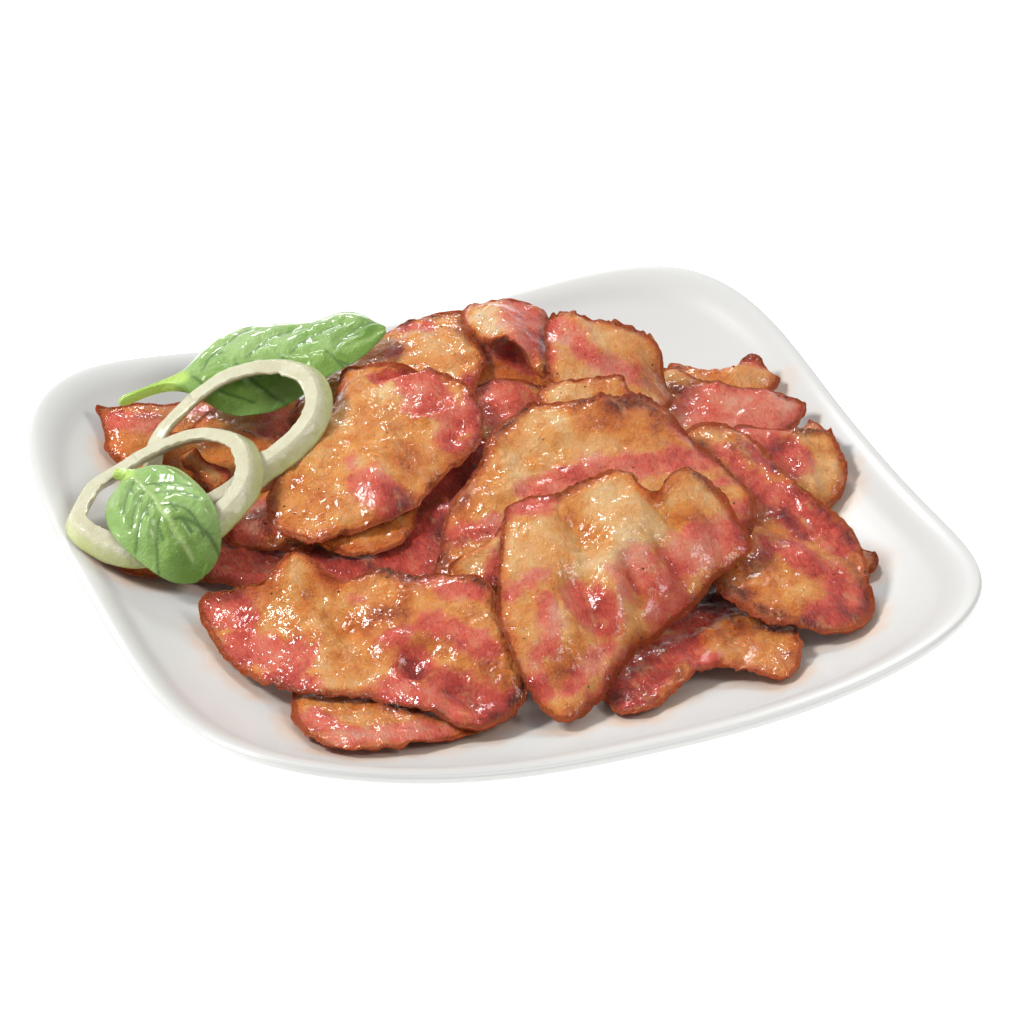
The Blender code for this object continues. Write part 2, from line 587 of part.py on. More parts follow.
def main():
    """Clears the scene, then lays the plate and the food on it from the bottom of the heap to its top."""
    for old in list(bpy.data.objects):
        bpy.data.objects.remove(old, do_unlink=True)
    heap = Heap()
    plate(heap)
    lay_plate_layer(heap)
    lay_right_side(heap)
    lay_left_side(heap)
    lay_back(heap)
    lay_middle(heap)
    lay_garnish(heap)
    lay_front(heap)


main()
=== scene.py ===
"""Looks of a plate of fried bacon slices with onion rings and spinach leaves.

Places and sizes below are in millimetres in the plate's own frame: its foot stands on z = 0, its centre is at
x = y = 0 and its sides run along X and Y. They are turned into metres when meshes are made.
"""

import json
import math

import bmesh
import bpy
import numpy as np
from mathutils import Euler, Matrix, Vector
from mathutils.kdtree import KDTree


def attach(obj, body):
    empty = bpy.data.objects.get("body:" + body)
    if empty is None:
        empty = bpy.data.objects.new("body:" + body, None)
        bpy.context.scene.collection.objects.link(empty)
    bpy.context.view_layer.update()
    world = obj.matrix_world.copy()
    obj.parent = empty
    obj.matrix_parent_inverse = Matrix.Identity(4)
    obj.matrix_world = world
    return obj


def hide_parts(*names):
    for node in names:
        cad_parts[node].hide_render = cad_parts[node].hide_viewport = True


MM = 0.001
PER_SQUARE_CM = 1.0e4

# Camera: a long lens in front of the plate's left corner.
CAMERA_AZIMUTH = -21.0
CAMERA_ELEVATION = 32.0
CAMERA_DISTANCE = 1420.0
CAMERA_RIGHT = 5.2
CAMERA_UP = 21.6
LENS = 175.8
# Strengths of the light from all round and of the floor's own.
ROOM_LIGHT = 0.395
FLOOR_GLOW = 0.62

# Plate, as in the solid: a rounded square whose corners rise above its sides.
PLATE_HALF_SIDE = 118.0
PLATE_SQUARENESS = 4.4
CORNER_RISE = 14.5
CORNER_RISE_POWER = 1.24
CORNER_REACH = 0.28
CORNER_FADE_POWER = 1.6
# (half side, height) from the middle of the underside, over the rim, to the middle of the top.
PLATE_PROFILE = [(0.0, 3.6), (53.0, 3.2), (55.0, 0.0), (61.0, 0.0), (63.5, 2.6), (84.0, 6.0), (104.0, 12.0),
                 (116.6, 18.2), (118.0, 19.8), (117.6, 21.2), (116.0, 21.6), (107.0, 17.4), (93.0, 13.0),
                 (76.0, 9.6), (57.0, 7.8), (34.0, 7.2), (0.0, 7.0)]
PLATE_HEIGHT_SCALE = 25.0
PLATE_ROWS = 129
PLATE_COLUMNS = 257
# The glaze is tinted warm this far from slices that lie lower than the height; one point in so many counts.
TINT_REACH = 7.0
TINT_HEIGHT = 24.0
TINT_STEP = 7

# Lines that stand straight up join a slice's top to its underside: those are its edge band.
UPRIGHT = 0.02
# Edges bent more than this, in radians, stay crisp where a piece asks for it.
CORNER_ANGLE = 0.45

# What frying does to a slice, in mm: the height of a fold of amount 1, then heights and sizes of what lies on
# the folds, and how the rim is waved, torn and thinned.
FOLD_DEPTH = 1.35
LARGE_PUCKER, LARGE_PUCKER_SIZE = 0.60, 9.0
SMALL_PUCKER, SMALL_PUCKER_SIZE = 0.40, 4.5
CREASE_DEPTH, CREASE_SPACING = 0.55, 7.0
BLISTER_HEIGHT, BLISTER_SPACING = 0.25, 2.7
RIM_WAVE, RIM_WAVE_SIZE = 1.0, 6.0
RAGGEDNESS, RAGGED_SIZE = 0.8, 6.0
RIM_THINNING = 0.5
RIM_REACH = 3.0

# How far the bumps in the materials reach, in mm.
COARSE_BUMP = 0.55
FINE_BUMP = 1.5
FAT_FILM_BUMP = 0.10
GLAZE_BUMP, GLAZE_BUMP_STRENGTH = 0.12, 0.25
ONION_BUMP = 0.30
SPINACH_BUMP = 0.62

# What each slice shows, over what a plain one shows. lean: lean meat, (x0, y0, x1, y1, radius) along a line.
# tone, the browning and painted light: (x0, y0, x1, y1, radius, amount), browner or deeper above 0 and paler
# below it. It holds real browning, but also painted shade in hollows, on slopes away from the light and under
# other slices, and painted highlights on ridges. char: charred places, as lean. folds: (x0, y0, x1, y1,
# radius, height), ridges above 0 and hollows below it. levels: how often the solid's faces are divided. tint:
# how orange its fat is. A slice's node is "slice_" and its name here, and its seed is its number in the
# table.
PLAIN_SLICE = dict(levels=3, tint=0.0, lean=(), browning_and_painted_light=(), char=(), folds=())
SLICES = dict(
    # front_right: its pale tones on ridges are partly painted highlights, and its deep ones on slopes facing
    # away from the light are partly painted shade.
    front_right=dict(levels=4, lean=[(-4, -22, 2, -28, 4.6), (-15, -52, -4, -49, 1.6),
        (-6, -59, -9, -68, 2.8), (3, -57, 8, -63, 5.2), (15, -55, 16, -59, 2.4), (21, -53, 28, -57, 4.6),
        (33, -52, 42, -49, 4.8), (48, -48, 55, -46, 4.8), (22, -63, 34, -61, 1.5), (-18, -74, -11, -71, 1.8),
        (-19, -78, -17, -82, 2.4), (-11, -84, -3, -77, 1.4), (-1, -77, 6, -70, 2), (-5, -88, 13, -73, 2.2)],
        browning_and_painted_light=[(0, -50, 30, -45, 30, -0.22), (22, -32, 25, -35, 5, -0.5), (8, -40, 8, -46, 4, -0.5),
        (20, -46, 32, -42, 4, -0.45), (12, -52, 14, -57, 3, -0.5), (-8, -34, -13, -42, 2.5, -0.6),
        (-5, -60, -5, -68, 3, -0.6), (12, -31, 12, -38, 3.5, 0.3), (37, -40, 44, -42, 3.5, 0.45),
        (25, -45, 27, -45, 3, 0.2), (-13, -62, -13, -67, 4, 0.15), (-5, -71, -11, -80, 4, 0.45),
        (3, -58, 7, -64, 5.5, 0.5), (32, -51, 35, -55, 2, 0.35), (18, -54, 21, -60, 1.5, 0.45),
        (47, -49, 54, -47, 4, 0.35)], char=[(9, -26, 19, -24, 1), (47, -27, 57, -38, 1.3),
        (4, -81, 18, -69, 1.6), (36, -61, 45, -57, 0.6), (-22, -80, -21, -82, 1.4),
        (-12, -33, -20, -49, 0.5), (57, -42, 58, -52, 0.8)], folds=[(0, -32, 3, -46, 6, 1.6),
        (-5, -52, -7, -68, 5, 1.5), (10, -36, 11, -46, 3, -1.6), (5, -54, 5, -67, 4.5, -2),
        (22, -28, 22, -44, 6, 1.4), (14, -50, 13, -58, 4, 1.5), (34, -36, 38, -43, 4, -1.8),
        (20, -50, 19, -60, 2.2, -1.4), (46, -32, 42, -44, 5, 1), (25, -51, 28, -59, 4, 1.3),
        (31, -48, 34, -57, 2, -1.1), (40, -46, 42, -54, 4, 1)]),
    front_left=dict(levels=4, lean=[(-86, -9, -80, -20, 3.8), (-84, -26, -74, -45, 5.6),
        (-80, -47, -76, -56, 4.2), (-52, -31, -51, -32, 1), (-49, -49, -45, -50, 2.4),
        (-46, -58, -46, -61, 4.6), (-54, -65, -44, -80, 5), (-40, -70, -30, -80, 5.2),
        (-36, -85, -24, -81, 4), (-37, -50, -26, -65, 3.4), (-29, -41, -23, -46, 3),
        (-35, -29, -31, -37, 2.6)], browning_and_painted_light=[(-80, -40, -30, -50, 40, 0.14), (-65, -14, -66, -20, 3, -0.5),
        (-60, -27, -57, -29, 3, -0.45), (-65, -34, -62, -44, 3, -0.5), (-68, -50, -71, -57, 3.5, -0.4),
        (-82, -30, -78, -38, 4, -0.2), (-58, -21, -64, -24, 2.5, 0.6), (-50, -37, -43, -43, 5, 0.4),
        (-40, -30, -36, -34, 5, 0.45), (-28, -73, -34, -68, 4, 0.3), (-46, -58, -46, -61, 4, 0.75),
        (-39, -72, -35, -78, 4, 0.6), (-31, -84, -22, -79, 4, 0.5), (-72, -16, -80, -11, 2.5, 0.5),
        (-87, -3, -82, -8, 2, 0.4), (-79, -48, -76, -54, 4, 0.35)], char=[(-84, -50, -75, -62, 2),
        (-74, -62, -61, -66, 1.3), (-91, -17, -90, -35, 1), (-67, -12, -64, -11, 0.8),
        (-59, -14, -57, -18, 1.2), (-45, -23, -30, -33, 1.7), (-20, -77, -19, -81, 2),
        (-89, -2, -80, -11, 0.8), (-24, -38, -18, -46, 0.8)], folds=[(-66, -14, -66, -40, 5, 1.4),
        (-66, -40, -72, -56, 5, 1.1), (-57, -33, -56, -57, 4, -1.2), (-49, -48, -44, -52, 3.5, 1.2),
        (-46, -58, -46, -61, 3.6, -2), (-40, -48, -33, -62, 2.5, 1), (-39, -71, -36, -76, 4.2, -1.6),
        (-50, -66, -47, -78, 4, 0.8), (-27, -68, -24, -74, 2.5, 1)]),
    # mid_left: its pale tones on its ridges are partly painted highlights, and its deep tone below its bump
    # is painted shade.
    mid_left=dict(levels=4, lean=[(-6, 46, -7, 35, 6.2), (-3, 42, -3, 36, 4.8), (-14, 54, -6, 53, 3),
        (-6, 21, -1, 25, 3.2), (-2, 28, 4, 22, 4.2), (-6, 17, 3, 18, 2.6), (5, 32, 6, 22, 3),
        (-33, 11, -29, 2, 5.4), (-35, 19, -34, 24, 0.8)], browning_and_painted_light=[(-13, 48, -18, 43, 4, -0.6),
        (-12, 40, -13, 36, 2.5, -0.4), (-34, 42, -31, 38, 3, -0.4), (-42, 14, -38, 12, 3, -0.5),
        (-44, 5, -43, 2, 3, -0.3), (-46, 27, -36, 37, 3, -0.2), (-48, 13, -46, 10, 6, 0.15),
        (-20, 18, -18, 30, 6, 0.25), (-55, 31, -40, 44, 2.5, 0.35), (-59, 25, -58, 20, 3, 0.35),
        (-30, 3, -28, 0, 5, 0.55), (-12, 54, -7, 53, 4, 0.45), (-5, 21, -1, 24, 3, 0.6),
        (-5, 34, -1, 31, 4, 0.2), (4, 26, 3, 19, 3, 0.2)], char=[(-36, 44, -32, 49, 1.6),
        (-62, 14, -58, 28, 1), (9, 36, 8, 20, 1.1), (5, 14, -6, 10, 0.5), (-57, 4, -50, -1, 0.6),
        (-46, 38, -38, 43, 0.5)], folds=[(-22, 54, -22, 20, 3, 0.8), (-45, 25, -35, 39, 4, 1.2),
        (-32, 9, -31, 5, 6, 2.4), (-43, 12, -45, 2, 4, 1), (-14, 54, -3, 52, 2.4, -1.4),
        (-12, 50, -2, 48, 1.8, 0.7), (-5, 21, -2, 24, 3, -1.2), (-10, 29, 0, 30, 1.5, 0.7)]),
    centre=dict(levels=4, lean=[(8, -9, 28, -8, 3.8), (33, -10, 48, -11, 4.2), (52, -9, 58, -13, 3.8),
        (57, 0, 58, -3, 2.4), (60, -7, 62, -12, 2.4), (58, -22, 67, -22, 0.9), (58, -32, 68, -32, 1.8),
        (60, -38, 64, -38, 2.6), (-15, -15, -6, -17, 4), (-21, -10, -18, -14, 2.4)],
        browning_and_painted_light=[(8, 4, 5, -6, 4, -0.3), (22, 15, 24, 10, 3, -0.35), (14, 6, 26, -2, 5, -0.15),
        (-10, -4, -5, 4, 4.5, 0.5), (-20, -18, -18, -20, 4, 0.3), (41, 11, 55, 9, 5, 1),
        (44, 2, 53, 0, 4.5, 0.4), (32, 11, 34, 8, 4, 0.35), (-26, -24, -24, -22, 3, 0.8),
        (-4, 5, 5, 14, 2.5, 0.7), (45, -9, 50, -11, 4, 0.2)], char=[(4, 13, 20, 21, 1),
        (31, 15, 41, 14, 1.2), (44, 13, 54, 11, 2), (56, 8, 61, -3, 0.8), (62, -8, 69, -28, 0.8),
        (-29, -26, -21, -14, 1.4)], folds=[(4, 10, 2, -6, 3.5, 1.2), (38, 13, 39, 12, 3, 1),
        (47, 12, 49, 11, 3, 1), (53, 7, 54, 5, 3, 0.8), (32, 2, 36, -8, 3, 0.8), (16, 8, 30, 6, 3, 0.5),
        (-12, -3, -5, -8, 3, 0.8), (20, -7, 26, -8, 4, 0.8)]),
    golden_edge=dict(levels=4, browning_and_painted_light=[(26, 22, 36, 21, 5, -0.35), (42, 21, 48, 19, 3, 0.2)],
        char=[(21, 27, 30, 28, 1), (40, 26, 51, 23, 0.7)], folds=[(26, 23, 46, 20, 3, 0.5)]),
    centre_flap=dict(lean=[(-16, -31, -8, -27, 1), (-16, -43, -13, -37, 2.4)],
        browning_and_painted_light=[(-21, -33, -15, -33, 4, -0.35), (-25, -30, -23, -29, 2.5, 0.4), (-15, -41, -13, -38, 3, 0.3)],
        char=[(-27, -31, -24, -29, 0.8)], folds=[(-20, -32, -10, -32, 2.5, 0.8)]),
    mid_left_under=dict(tint=0.6, browning_and_painted_light=[(-45, -3, -25, -3, 12, 0.2)], char=[(-44, -8, -28, -9, 0.5)]),
    # low_dark: its tone over the whole slice is painted shade, for a slice that lies low under the others.
    low_dark=dict(tint=0.2, lean=[(-60, 0, 5, 0, 40)], browning_and_painted_light=[(-60, 0, 5, 0, 60, 0.6)],
        char=[(-58, -10, -50, -12, 1)], folds=[(-48, -4, -40, -9, 3, 1)]),
    back_left=dict(levels=4, tint=0.1, lean=[(4, 83, 9, 79, 2.4), (10, 46, 11, 42, 2),
        (-5, 71, -3, 70, 1.2)], browning_and_painted_light=[(-9, 76, -4, 72, 4, 0.4), (17, 73, 19, 66, 2, 0.3),
        (5, 70, 14, 60, 6, -0.15), (8, 48, 10, 44, 3, 0.3)], char=[(4, 86, 20, 81, 0.9),
        (20, 76, 19, 60, 0.5), (19, 56, 13, 45, 0.4)], folds=[(4, 76, 9, 56, 3, 0.8),
        (13, 72, 14, 58, 2.5, 0.8), (-2, 74, -1, 66, 3, 0.6)]),
    back_middle=dict(levels=4, lean=[(33, 67, 30, 50, 6), (38, 63, 37, 60, 4)],
        browning_and_painted_light=[(21, 70, 22, 58, 4, -0.9), (25, 52, 27, 44, 2.5, -0.6), (33, 54, 31, 48, 3, 0.5),
        (28, 73, 31, 72, 3, 0.2), (30, 66, 27, 58, 3, -0.35)], char=[(19, 79, 25, 79, 0.5),
        (42, 68, 43, 66, 0.4)], folds=[(26, 70, 27, 52, 2.5, 0.5)]),
    back_right=dict(levels=4, tint=0.1, lean=[(37, 57, 42, 49, 4.6), (43, 44, 44, 42, 3.4),
        (46, 37, 56, 36, 3.2), (34, 50, 33, 42, 2.6)], browning_and_painted_light=[(50, 48, 60, 44, 40, -0.2),
        (49, 54, 58, 49, 4.5, 0.3), (50, 46, 53, 41, 3, -0.35), (58, 34, 66, 33, 5, 0.55),
        (66, 39, 67, 37, 2.5, 0.9), (37, 50, 39, 46, 3, -0.3), (43, 43, 44, 42, 3, 0.2)],
        char=[(40, 61, 46, 59, 0.7), (47, 58, 57, 55, 1.3), (57, 54, 69, 47, 1.6), (70, 45, 71, 36, 1.4),
        (31, 48, 30, 36, 0.9)], folds=[(46, 56, 48, 40, 3.5, 0.9), (57, 52, 60, 40, 4, 0.8),
        (64, 41, 68, 37, 2.5, -1.2)]),
    # mid_lean: its deep tone at the left is painted shade between the slices above it.
    mid_lean=dict(lean=[(14, 44, 18, 30, 9), (-16, 20, 8, 10, 12)], browning_and_painted_light=[(-16, 20, 0, 6, 14, 0.5),
        (24, 46, 28, 36, 8, 0.15)], char=[(20, 49, 29, 41, 0.7)], folds=[(18, 46, 24, 38, 3, 0.8)]),
    # back_low: its browner tone is painted shade under the arch of back_middle.
    back_low=dict(tint=0.9, lean=[(24, 62, 30, 50, 3)], browning_and_painted_light=[(26, 60, 26, 44, 12, 0.45)]),
    back_right_far=dict(tint=0.4, lean=[(100, 50, 102, 49, 2)], browning_and_painted_light=[(83, 51, 90, 48, 3, 0.3),
        (96, 46, 100, 42, 3, -0.3)], char=[(99, 52, 105, 50, 1.6), (76, 60, 80, 54, 0.5)],
        folds=[(94, 46, 102, 43, 3, 1), (101, 51, 102, 50, 2, 1.2)]),
    # back_right_lean: its dark tone at its top left is painted shade.
    back_right_lean=dict(levels=4, lean=[(78, 29, 102, 22, 10.5)], browning_and_painted_light=[(78, 29, 102, 22, 40, -0.3),
        (72, 42, 73, 40, 3.5, 0.9), (74, 33, 76, 30, 5, 0.35), (94, 29, 100, 25, 4, -0.3)],
        char=[(71, 43, 72, 40, 0.7), (100, 29, 109, 24, 0.3)], folds=[(84, 34, 96, 20, 4, 0.7),
        (94, 32, 103, 20, 3, 0.6)]),
    # right_curl: its pale tone on the yellow fat is a painted highlight.
    right_curl=dict(levels=4, lean=[(82, 16, 92, 14, 5.5), (86, 5, 90, -4, 5.6)],
        browning_and_painted_light=[(86, 2, 91, 4, 4, 0.55), (99, -5, 101, -7, 2.5, -0.5), (93, -12, 96, -14, 4, -0.2)],
        char=[(96, 7, 107, 6, 0.8), (107, 0, 105, -11, 0.6)], folds=[(96, 7, 106, 6, 2, 1),
        (94, 2, 92, -16, 3, 1.2), (90, 2, 88, -6, 3, -1.2)]),
    # right: its small pale tone spot is a painted highlight.
    right=dict(levels=4, lean=[(67, -2, 70, -12, 1.9), (77, -3, 78, -18, 1.9), (71, -18, 78, -33, 4.6),
        (74, -28, 77, -42, 2.4), (81, -35, 85, -52, 3.6), (70, -48, 72, -57, 4.2), (77, -60, 75, -70, 3.2),
        (67, -76, 80, -72, 5.4), (64, -44, 62, -48, 2.6)], browning_and_painted_light=[(66, -70, 84, -10, 40, 0.34),
        (50, -62, 53, -70, 4, 0.5), (47, -56, 48, -60, 3, 0.7), (55, -53, 60, -50, 4, 0.4),
        (75, -32, 76, -43, 2.5, 0.6), (75, -47, 76, -48, 1.8, -0.7), (57, -58, 67, -68, 5, -0.2),
        (66, -35, 69, -43, 3, 0.15), (77, -62, 75, -70, 3, 0.35), (83, -55, 84, -70, 2, 0.3),
        (66, 6, 70, 0, 3, -0.2)], char=[(44, -53, 48, -67, 1.5), (50, -71, 61, -79, 1.6),
        (66, -10, 64, 2, 0.3), (86, -64, 85, -76, 0.9)], folds=[(71, -49, 72, -56, 4.5, 1.4),
        (66, 6, 72, -14, 3, 0.8), (63, -38, 60, -50, 4, 0.8), (58, -58, 66, -68, 5, 0.6),
        (80, -60, 80, -74, 3, 0.6)]),
    right_tip=dict(tint=0.4, browning_and_painted_light=[(90, -50, 92, -46, 6, 0.35)], char=[(96, -48, 95, -55, 0.7)]),
    left_base=dict(levels=4, tint=0.3, lean=[(-76, 13, -60, 16, 12)], browning_and_painted_light=[(-75, 13, -62, 15, 12, 0.22),
        (-102, 18, -94, 17, 6, 0.1)], char=[(-84, 9, -70, 4, 0.6), (-104, 17, -93, 14, 0.5)],
        folds=[(-78, 10, -66, 6, 2.5, 0.8), (-72, 16, -64, 22, 4, 0.8)]),
    left_pink=dict(lean=[(-66, 27, -59, 27, 7.4)], browning_and_painted_light=[(-65, 28, -63, 25, 3, -0.5),
        (-60, 18, -52, 12, 3, 0.35)], char=[(-60, 24, -59, 19, 0.8), (-56, 14, -53, 11, 0.6)],
        folds=[(-66, 27, -60, 25, 4, 1), (-60, 22, -58, 18, 2, -1)]),
    small_wavy=dict(tint=0.1, lean=[(-66, 56, -63, 46, 1.3)], browning_and_painted_light=[(-70, 58, -67, 44, 8, -0.55)],
        char=[(-64, 49, -62, 48, 0.6)], folds=[(-72, 55, -69, 46, 1.5, 0.8)]),
    back_left_base=dict(tint=0.8, lean=[(-84, 84, -76, 80, 3.5), (-62, 84, -56, 80, 2)],
        browning_and_painted_light=[(-84, 84, -70, 80, 12, -0.1)], char=[(-91, 92, -88, 90, 1)],
        folds=[(-88, 82, -72, 80, 4, 0.8)]),
    back_brown=dict(tint=0.5, lean=[(-42, 66, -40, 56, 6)], browning_and_painted_light=[(-60, 58, -50, 56, 20, 0.22),
        (-40, 64, -36, 60, 6, 0.3)], char=[(-52, 62, -51, 60, 0.8)], folds=[(-54, 62, -48, 54, 3, 0.8)]),
    front_left_base=dict(levels=4, tint=0.4, lean=[(-78, -66, -75, -80, 3.2), (-74, -84, -48, -84, 4.2)],
        browning_and_painted_light=[(-74, -83, -48, -84, 5, -0.3), (-66, -72, -63, -76, 3, -0.2), (-57, -68, -48, -76, 3, 0.8),
        (-66, -66, -62, -68, 5, 0.15)], char=[(-60, -64, -54, -72, 1), (-81, -56, -78, -54, 0.6)],
        folds=[(-76, -66, -72, -84, 4, 0.6)]),
    # front_right_base: its deep tone along its back edge is painted shade under the slices above.
    front_right_base=dict(levels=4, lean=[(7, -84, 20, -72, 7.2), (20, -70, 30, -66, 5.5),
        (30, -72, 31, -78, 4.2), (36, -50, 58, -46, 12)], browning_and_painted_light=[(8, -80, 50, -66, 40, 0.3),
        (8, -82, 22, -71, 6, 0.3), (36, -46, 58, -44, 10, 0.8), (44, -66, 46, -68, 6, 0.3),
        (5, -93, 24, -85, 2, 0.2), (45, -84, 50, -80, 4, -0.1)], char=[(27, -83, 30, -82, 0.9),
        (36, -86, 40, -90, 1.5), (51, -70, 56, -74, 1.2)], folds=[(24, -80, 27, -68, 2.5, 0.7),
        (36, -80, 38, -68, 3, 0.8)]),
)


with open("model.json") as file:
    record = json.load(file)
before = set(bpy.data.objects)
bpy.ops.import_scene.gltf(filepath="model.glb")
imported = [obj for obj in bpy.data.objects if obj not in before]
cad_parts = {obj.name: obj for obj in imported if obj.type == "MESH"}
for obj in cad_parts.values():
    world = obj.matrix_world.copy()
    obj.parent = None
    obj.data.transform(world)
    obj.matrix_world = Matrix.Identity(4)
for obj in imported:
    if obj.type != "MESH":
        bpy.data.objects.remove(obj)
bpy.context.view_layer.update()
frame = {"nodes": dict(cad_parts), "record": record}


# ---- noise

def unit(values):
    """Values held between 0 and 1."""
    return np.clip(values, 0.0, 1.0)


def fade(distance, radius):
    """1 at no distance, falling softly to 0 beyond the radius."""
    return np.exp(-(distance / radius) ** 2)


def lattice_value(cell, seed):
    """A repeatable random number from -1 to 1 for each whole-number place."""
    mixed = cell[..., 0] * 374761393 + cell[..., 1] * 668265263 + cell[..., 2] * 1440662683 + seed * 974634777
    mixed = mixed & 0xFFFFFFFF
    mixed = ((mixed ^ (mixed >> 13)) * 1274126177) & 0xFFFFFFFF
    mixed = mixed ^ (mixed >> 16)
    return (mixed & 0xFFFF) / 32767.5 - 1.0


def noise(points, size, seed):
    """Smooth noise from -1 to 1 with lumps of about the given size in mm, its grid turned by the seed."""
    turn = np.array(Euler((0.5 + 0.3 * seed, 0.4, 1.7 * seed)).to_matrix())
    scaled = points @ turn / size
    cell = np.floor(scaled).astype(np.int64)
    part = scaled - cell
    part = part * part * (3.0 - 2.0 * part)
    total = np.zeros(len(points))
    for corner in np.ndindex(2, 2, 2):
        weight = np.prod(np.where(corner, part, 1.0 - part), axis=1)
        total += weight * lattice_value(cell + corner, seed)
    return total


def lumps(points, size, seed):
    """Noise of two sizes added up."""
    return 0.7 * noise(points, size, seed) + 0.3 * noise(points, size * 0.45, seed + 50)


def blisters(places, spacing, seed):
    """Height from 0 to 1 of round blisters at random places, seen from above."""
    flat = places / spacing
    cell = np.floor(flat).astype(np.int64)
    best = np.full(len(places), 9.0)
    for shift in np.ndindex(3, 3):
        near = np.column_stack([cell + np.array(shift) - 1, np.zeros(len(cell), np.int64)])
        shifted = np.column_stack([lattice_value(near, seed), lattice_value(near, seed + 1)])
        spot = near[:, :2] + 0.5 + 0.4 * shifted
        best = np.minimum(best, np.linalg.norm(flat - spot, axis=1))
    return unit(1.0 - (best / 0.55) ** 2)


def line_distance(places, line):
    """Distance of each place, seen from above, to a straight line between two points."""
    start = np.array(line[:2], float)
    run = np.array(line[2:4], float) - start
    along = unit((places - start) @ run / (run @ run))
    return np.linalg.norm(places - start - along[:, None] * run, axis=1)


def patch_edge(places, patches):
    """Signed distance in mm to the edge of the patches: below 0 inside them."""
    edge = np.full(len(places), 12.0)
    for patch in patches:
        edge = np.minimum(edge, line_distance(places, patch) - patch[4])
    return edge


def soft_sum(places, patches):
    """Sum of soft spots: each adds its amount at its line and fades over its radius."""
    total = np.zeros(len(places))
    for patch in patches:
        total += patch[5] * fade(line_distance(places, patch), patch[4])
    return total


# ---- meshes

def link(name, mesh):
    piece = bpy.data.objects.new(name, mesh)
    bpy.context.scene.collection.objects.link(piece)
    return piece


def finished(name, mesh, slot, *nodes):
    """A smooth piece tied to the frame."""
    piece = link(name, mesh)
    mesh.shade_smooth()
    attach(piece, "root")
    if nodes:
        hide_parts(*nodes)
    return piece


def dressed(name, node, mesh, points, values, material, slot):
    """A node's piece from its moved points, the values that its material reads, and the material."""
    mesh.vertices.foreach_set("co", (points * MM).astype(np.float32).ravel())
    mesh.update()
    for key, column in values.items():
        write_values(mesh, key, column)
    mesh.materials.append(material)
    return finished(name, mesh, slot, node)


def evaluated_mesh(piece):
    """The mesh of a piece with its modifiers applied."""
    state = bpy.context.evaluated_depsgraph_get()
    return bpy.data.meshes.new_from_object(piece.evaluated_get(state))


def refined_copy(node, levels, crisp=0.0):
    """A copy of a node's solid in four-sided faces, divided and rounded, its edge band marked in "band"."""
    shape = bmesh.new()
    shape.from_mesh(frame["nodes"][node].data)
    bmesh.ops.remove_doubles(shape, verts=shape.verts, dist=1e-6)
    bmesh.ops.join_triangles(shape, faces=shape.faces, angle_face_threshold=math.pi,
                             angle_shape_threshold=math.pi, topology_influence=1.0)
    band = shape.verts.layers.float.new("band")
    for edge in shape.edges:
        run = edge.verts[1].co - edge.verts[0].co
        if math.hypot(run.x, run.y) < UPRIGHT * MM:
            for end in edge.verts:
                end[band] = 1.0
    if crisp:
        crease = shape.edges.layers.float.new("crease_edge")
        for edge in shape.edges:
            if edge.is_manifold and edge.calc_face_angle() > CORNER_ANGLE:
                edge[crease] = crisp
    mesh = bpy.data.meshes.new(node + "_base")
    shape.to_mesh(mesh)
    shape.free()
    base = link(node + "_base", mesh)
    divide = base.modifiers.new("divide", "SUBSURF")
    divide.levels = levels
    divide.render_levels = levels
    fine = evaluated_mesh(base)
    bpy.data.objects.remove(base)
    fine.materials.clear()
    return fine


def fetched(items, name, width=1):
    values = np.empty(len(items) * width, np.float32)
    items.foreach_get(name, values)
    return values


def points_of(mesh):
    """A mesh's points in mm."""
    return fetched(mesh.vertices, "co", 3).reshape(-1, 3).astype(float) / MM


def normals_of(mesh):
    return fetched(mesh.vertex_normals, "vector", 3).reshape(-1, 3).astype(float)


def read_values(mesh, name):
    return fetched(mesh.attributes[name].data, "value")


def write_values(mesh, name, values):
    layer = mesh.attributes.new(name, "FLOAT", "POINT")
    layer.data.foreach_set("value", np.asarray(values, np.float32))


def search_tree(places):
    """Finds the nearest of many places."""
    tree = KDTree(len(places))
    for number, place in enumerate(places):
        tree.insert(place, number)
    tree.balance()
    return tree


def rim_of(points, band):
    """For each point: its distance to the edge band, and the nearest point of that band."""
    on_rim = np.flatnonzero(band > 0.999)
    tree = search_tree(points[on_rim])
    found = [tree.find(point) for point in points]
    gap = np.array([hit[2] for hit in found])
    return gap, on_rim[np.array([hit[1] for hit in found])]


# ---- nets of nodes

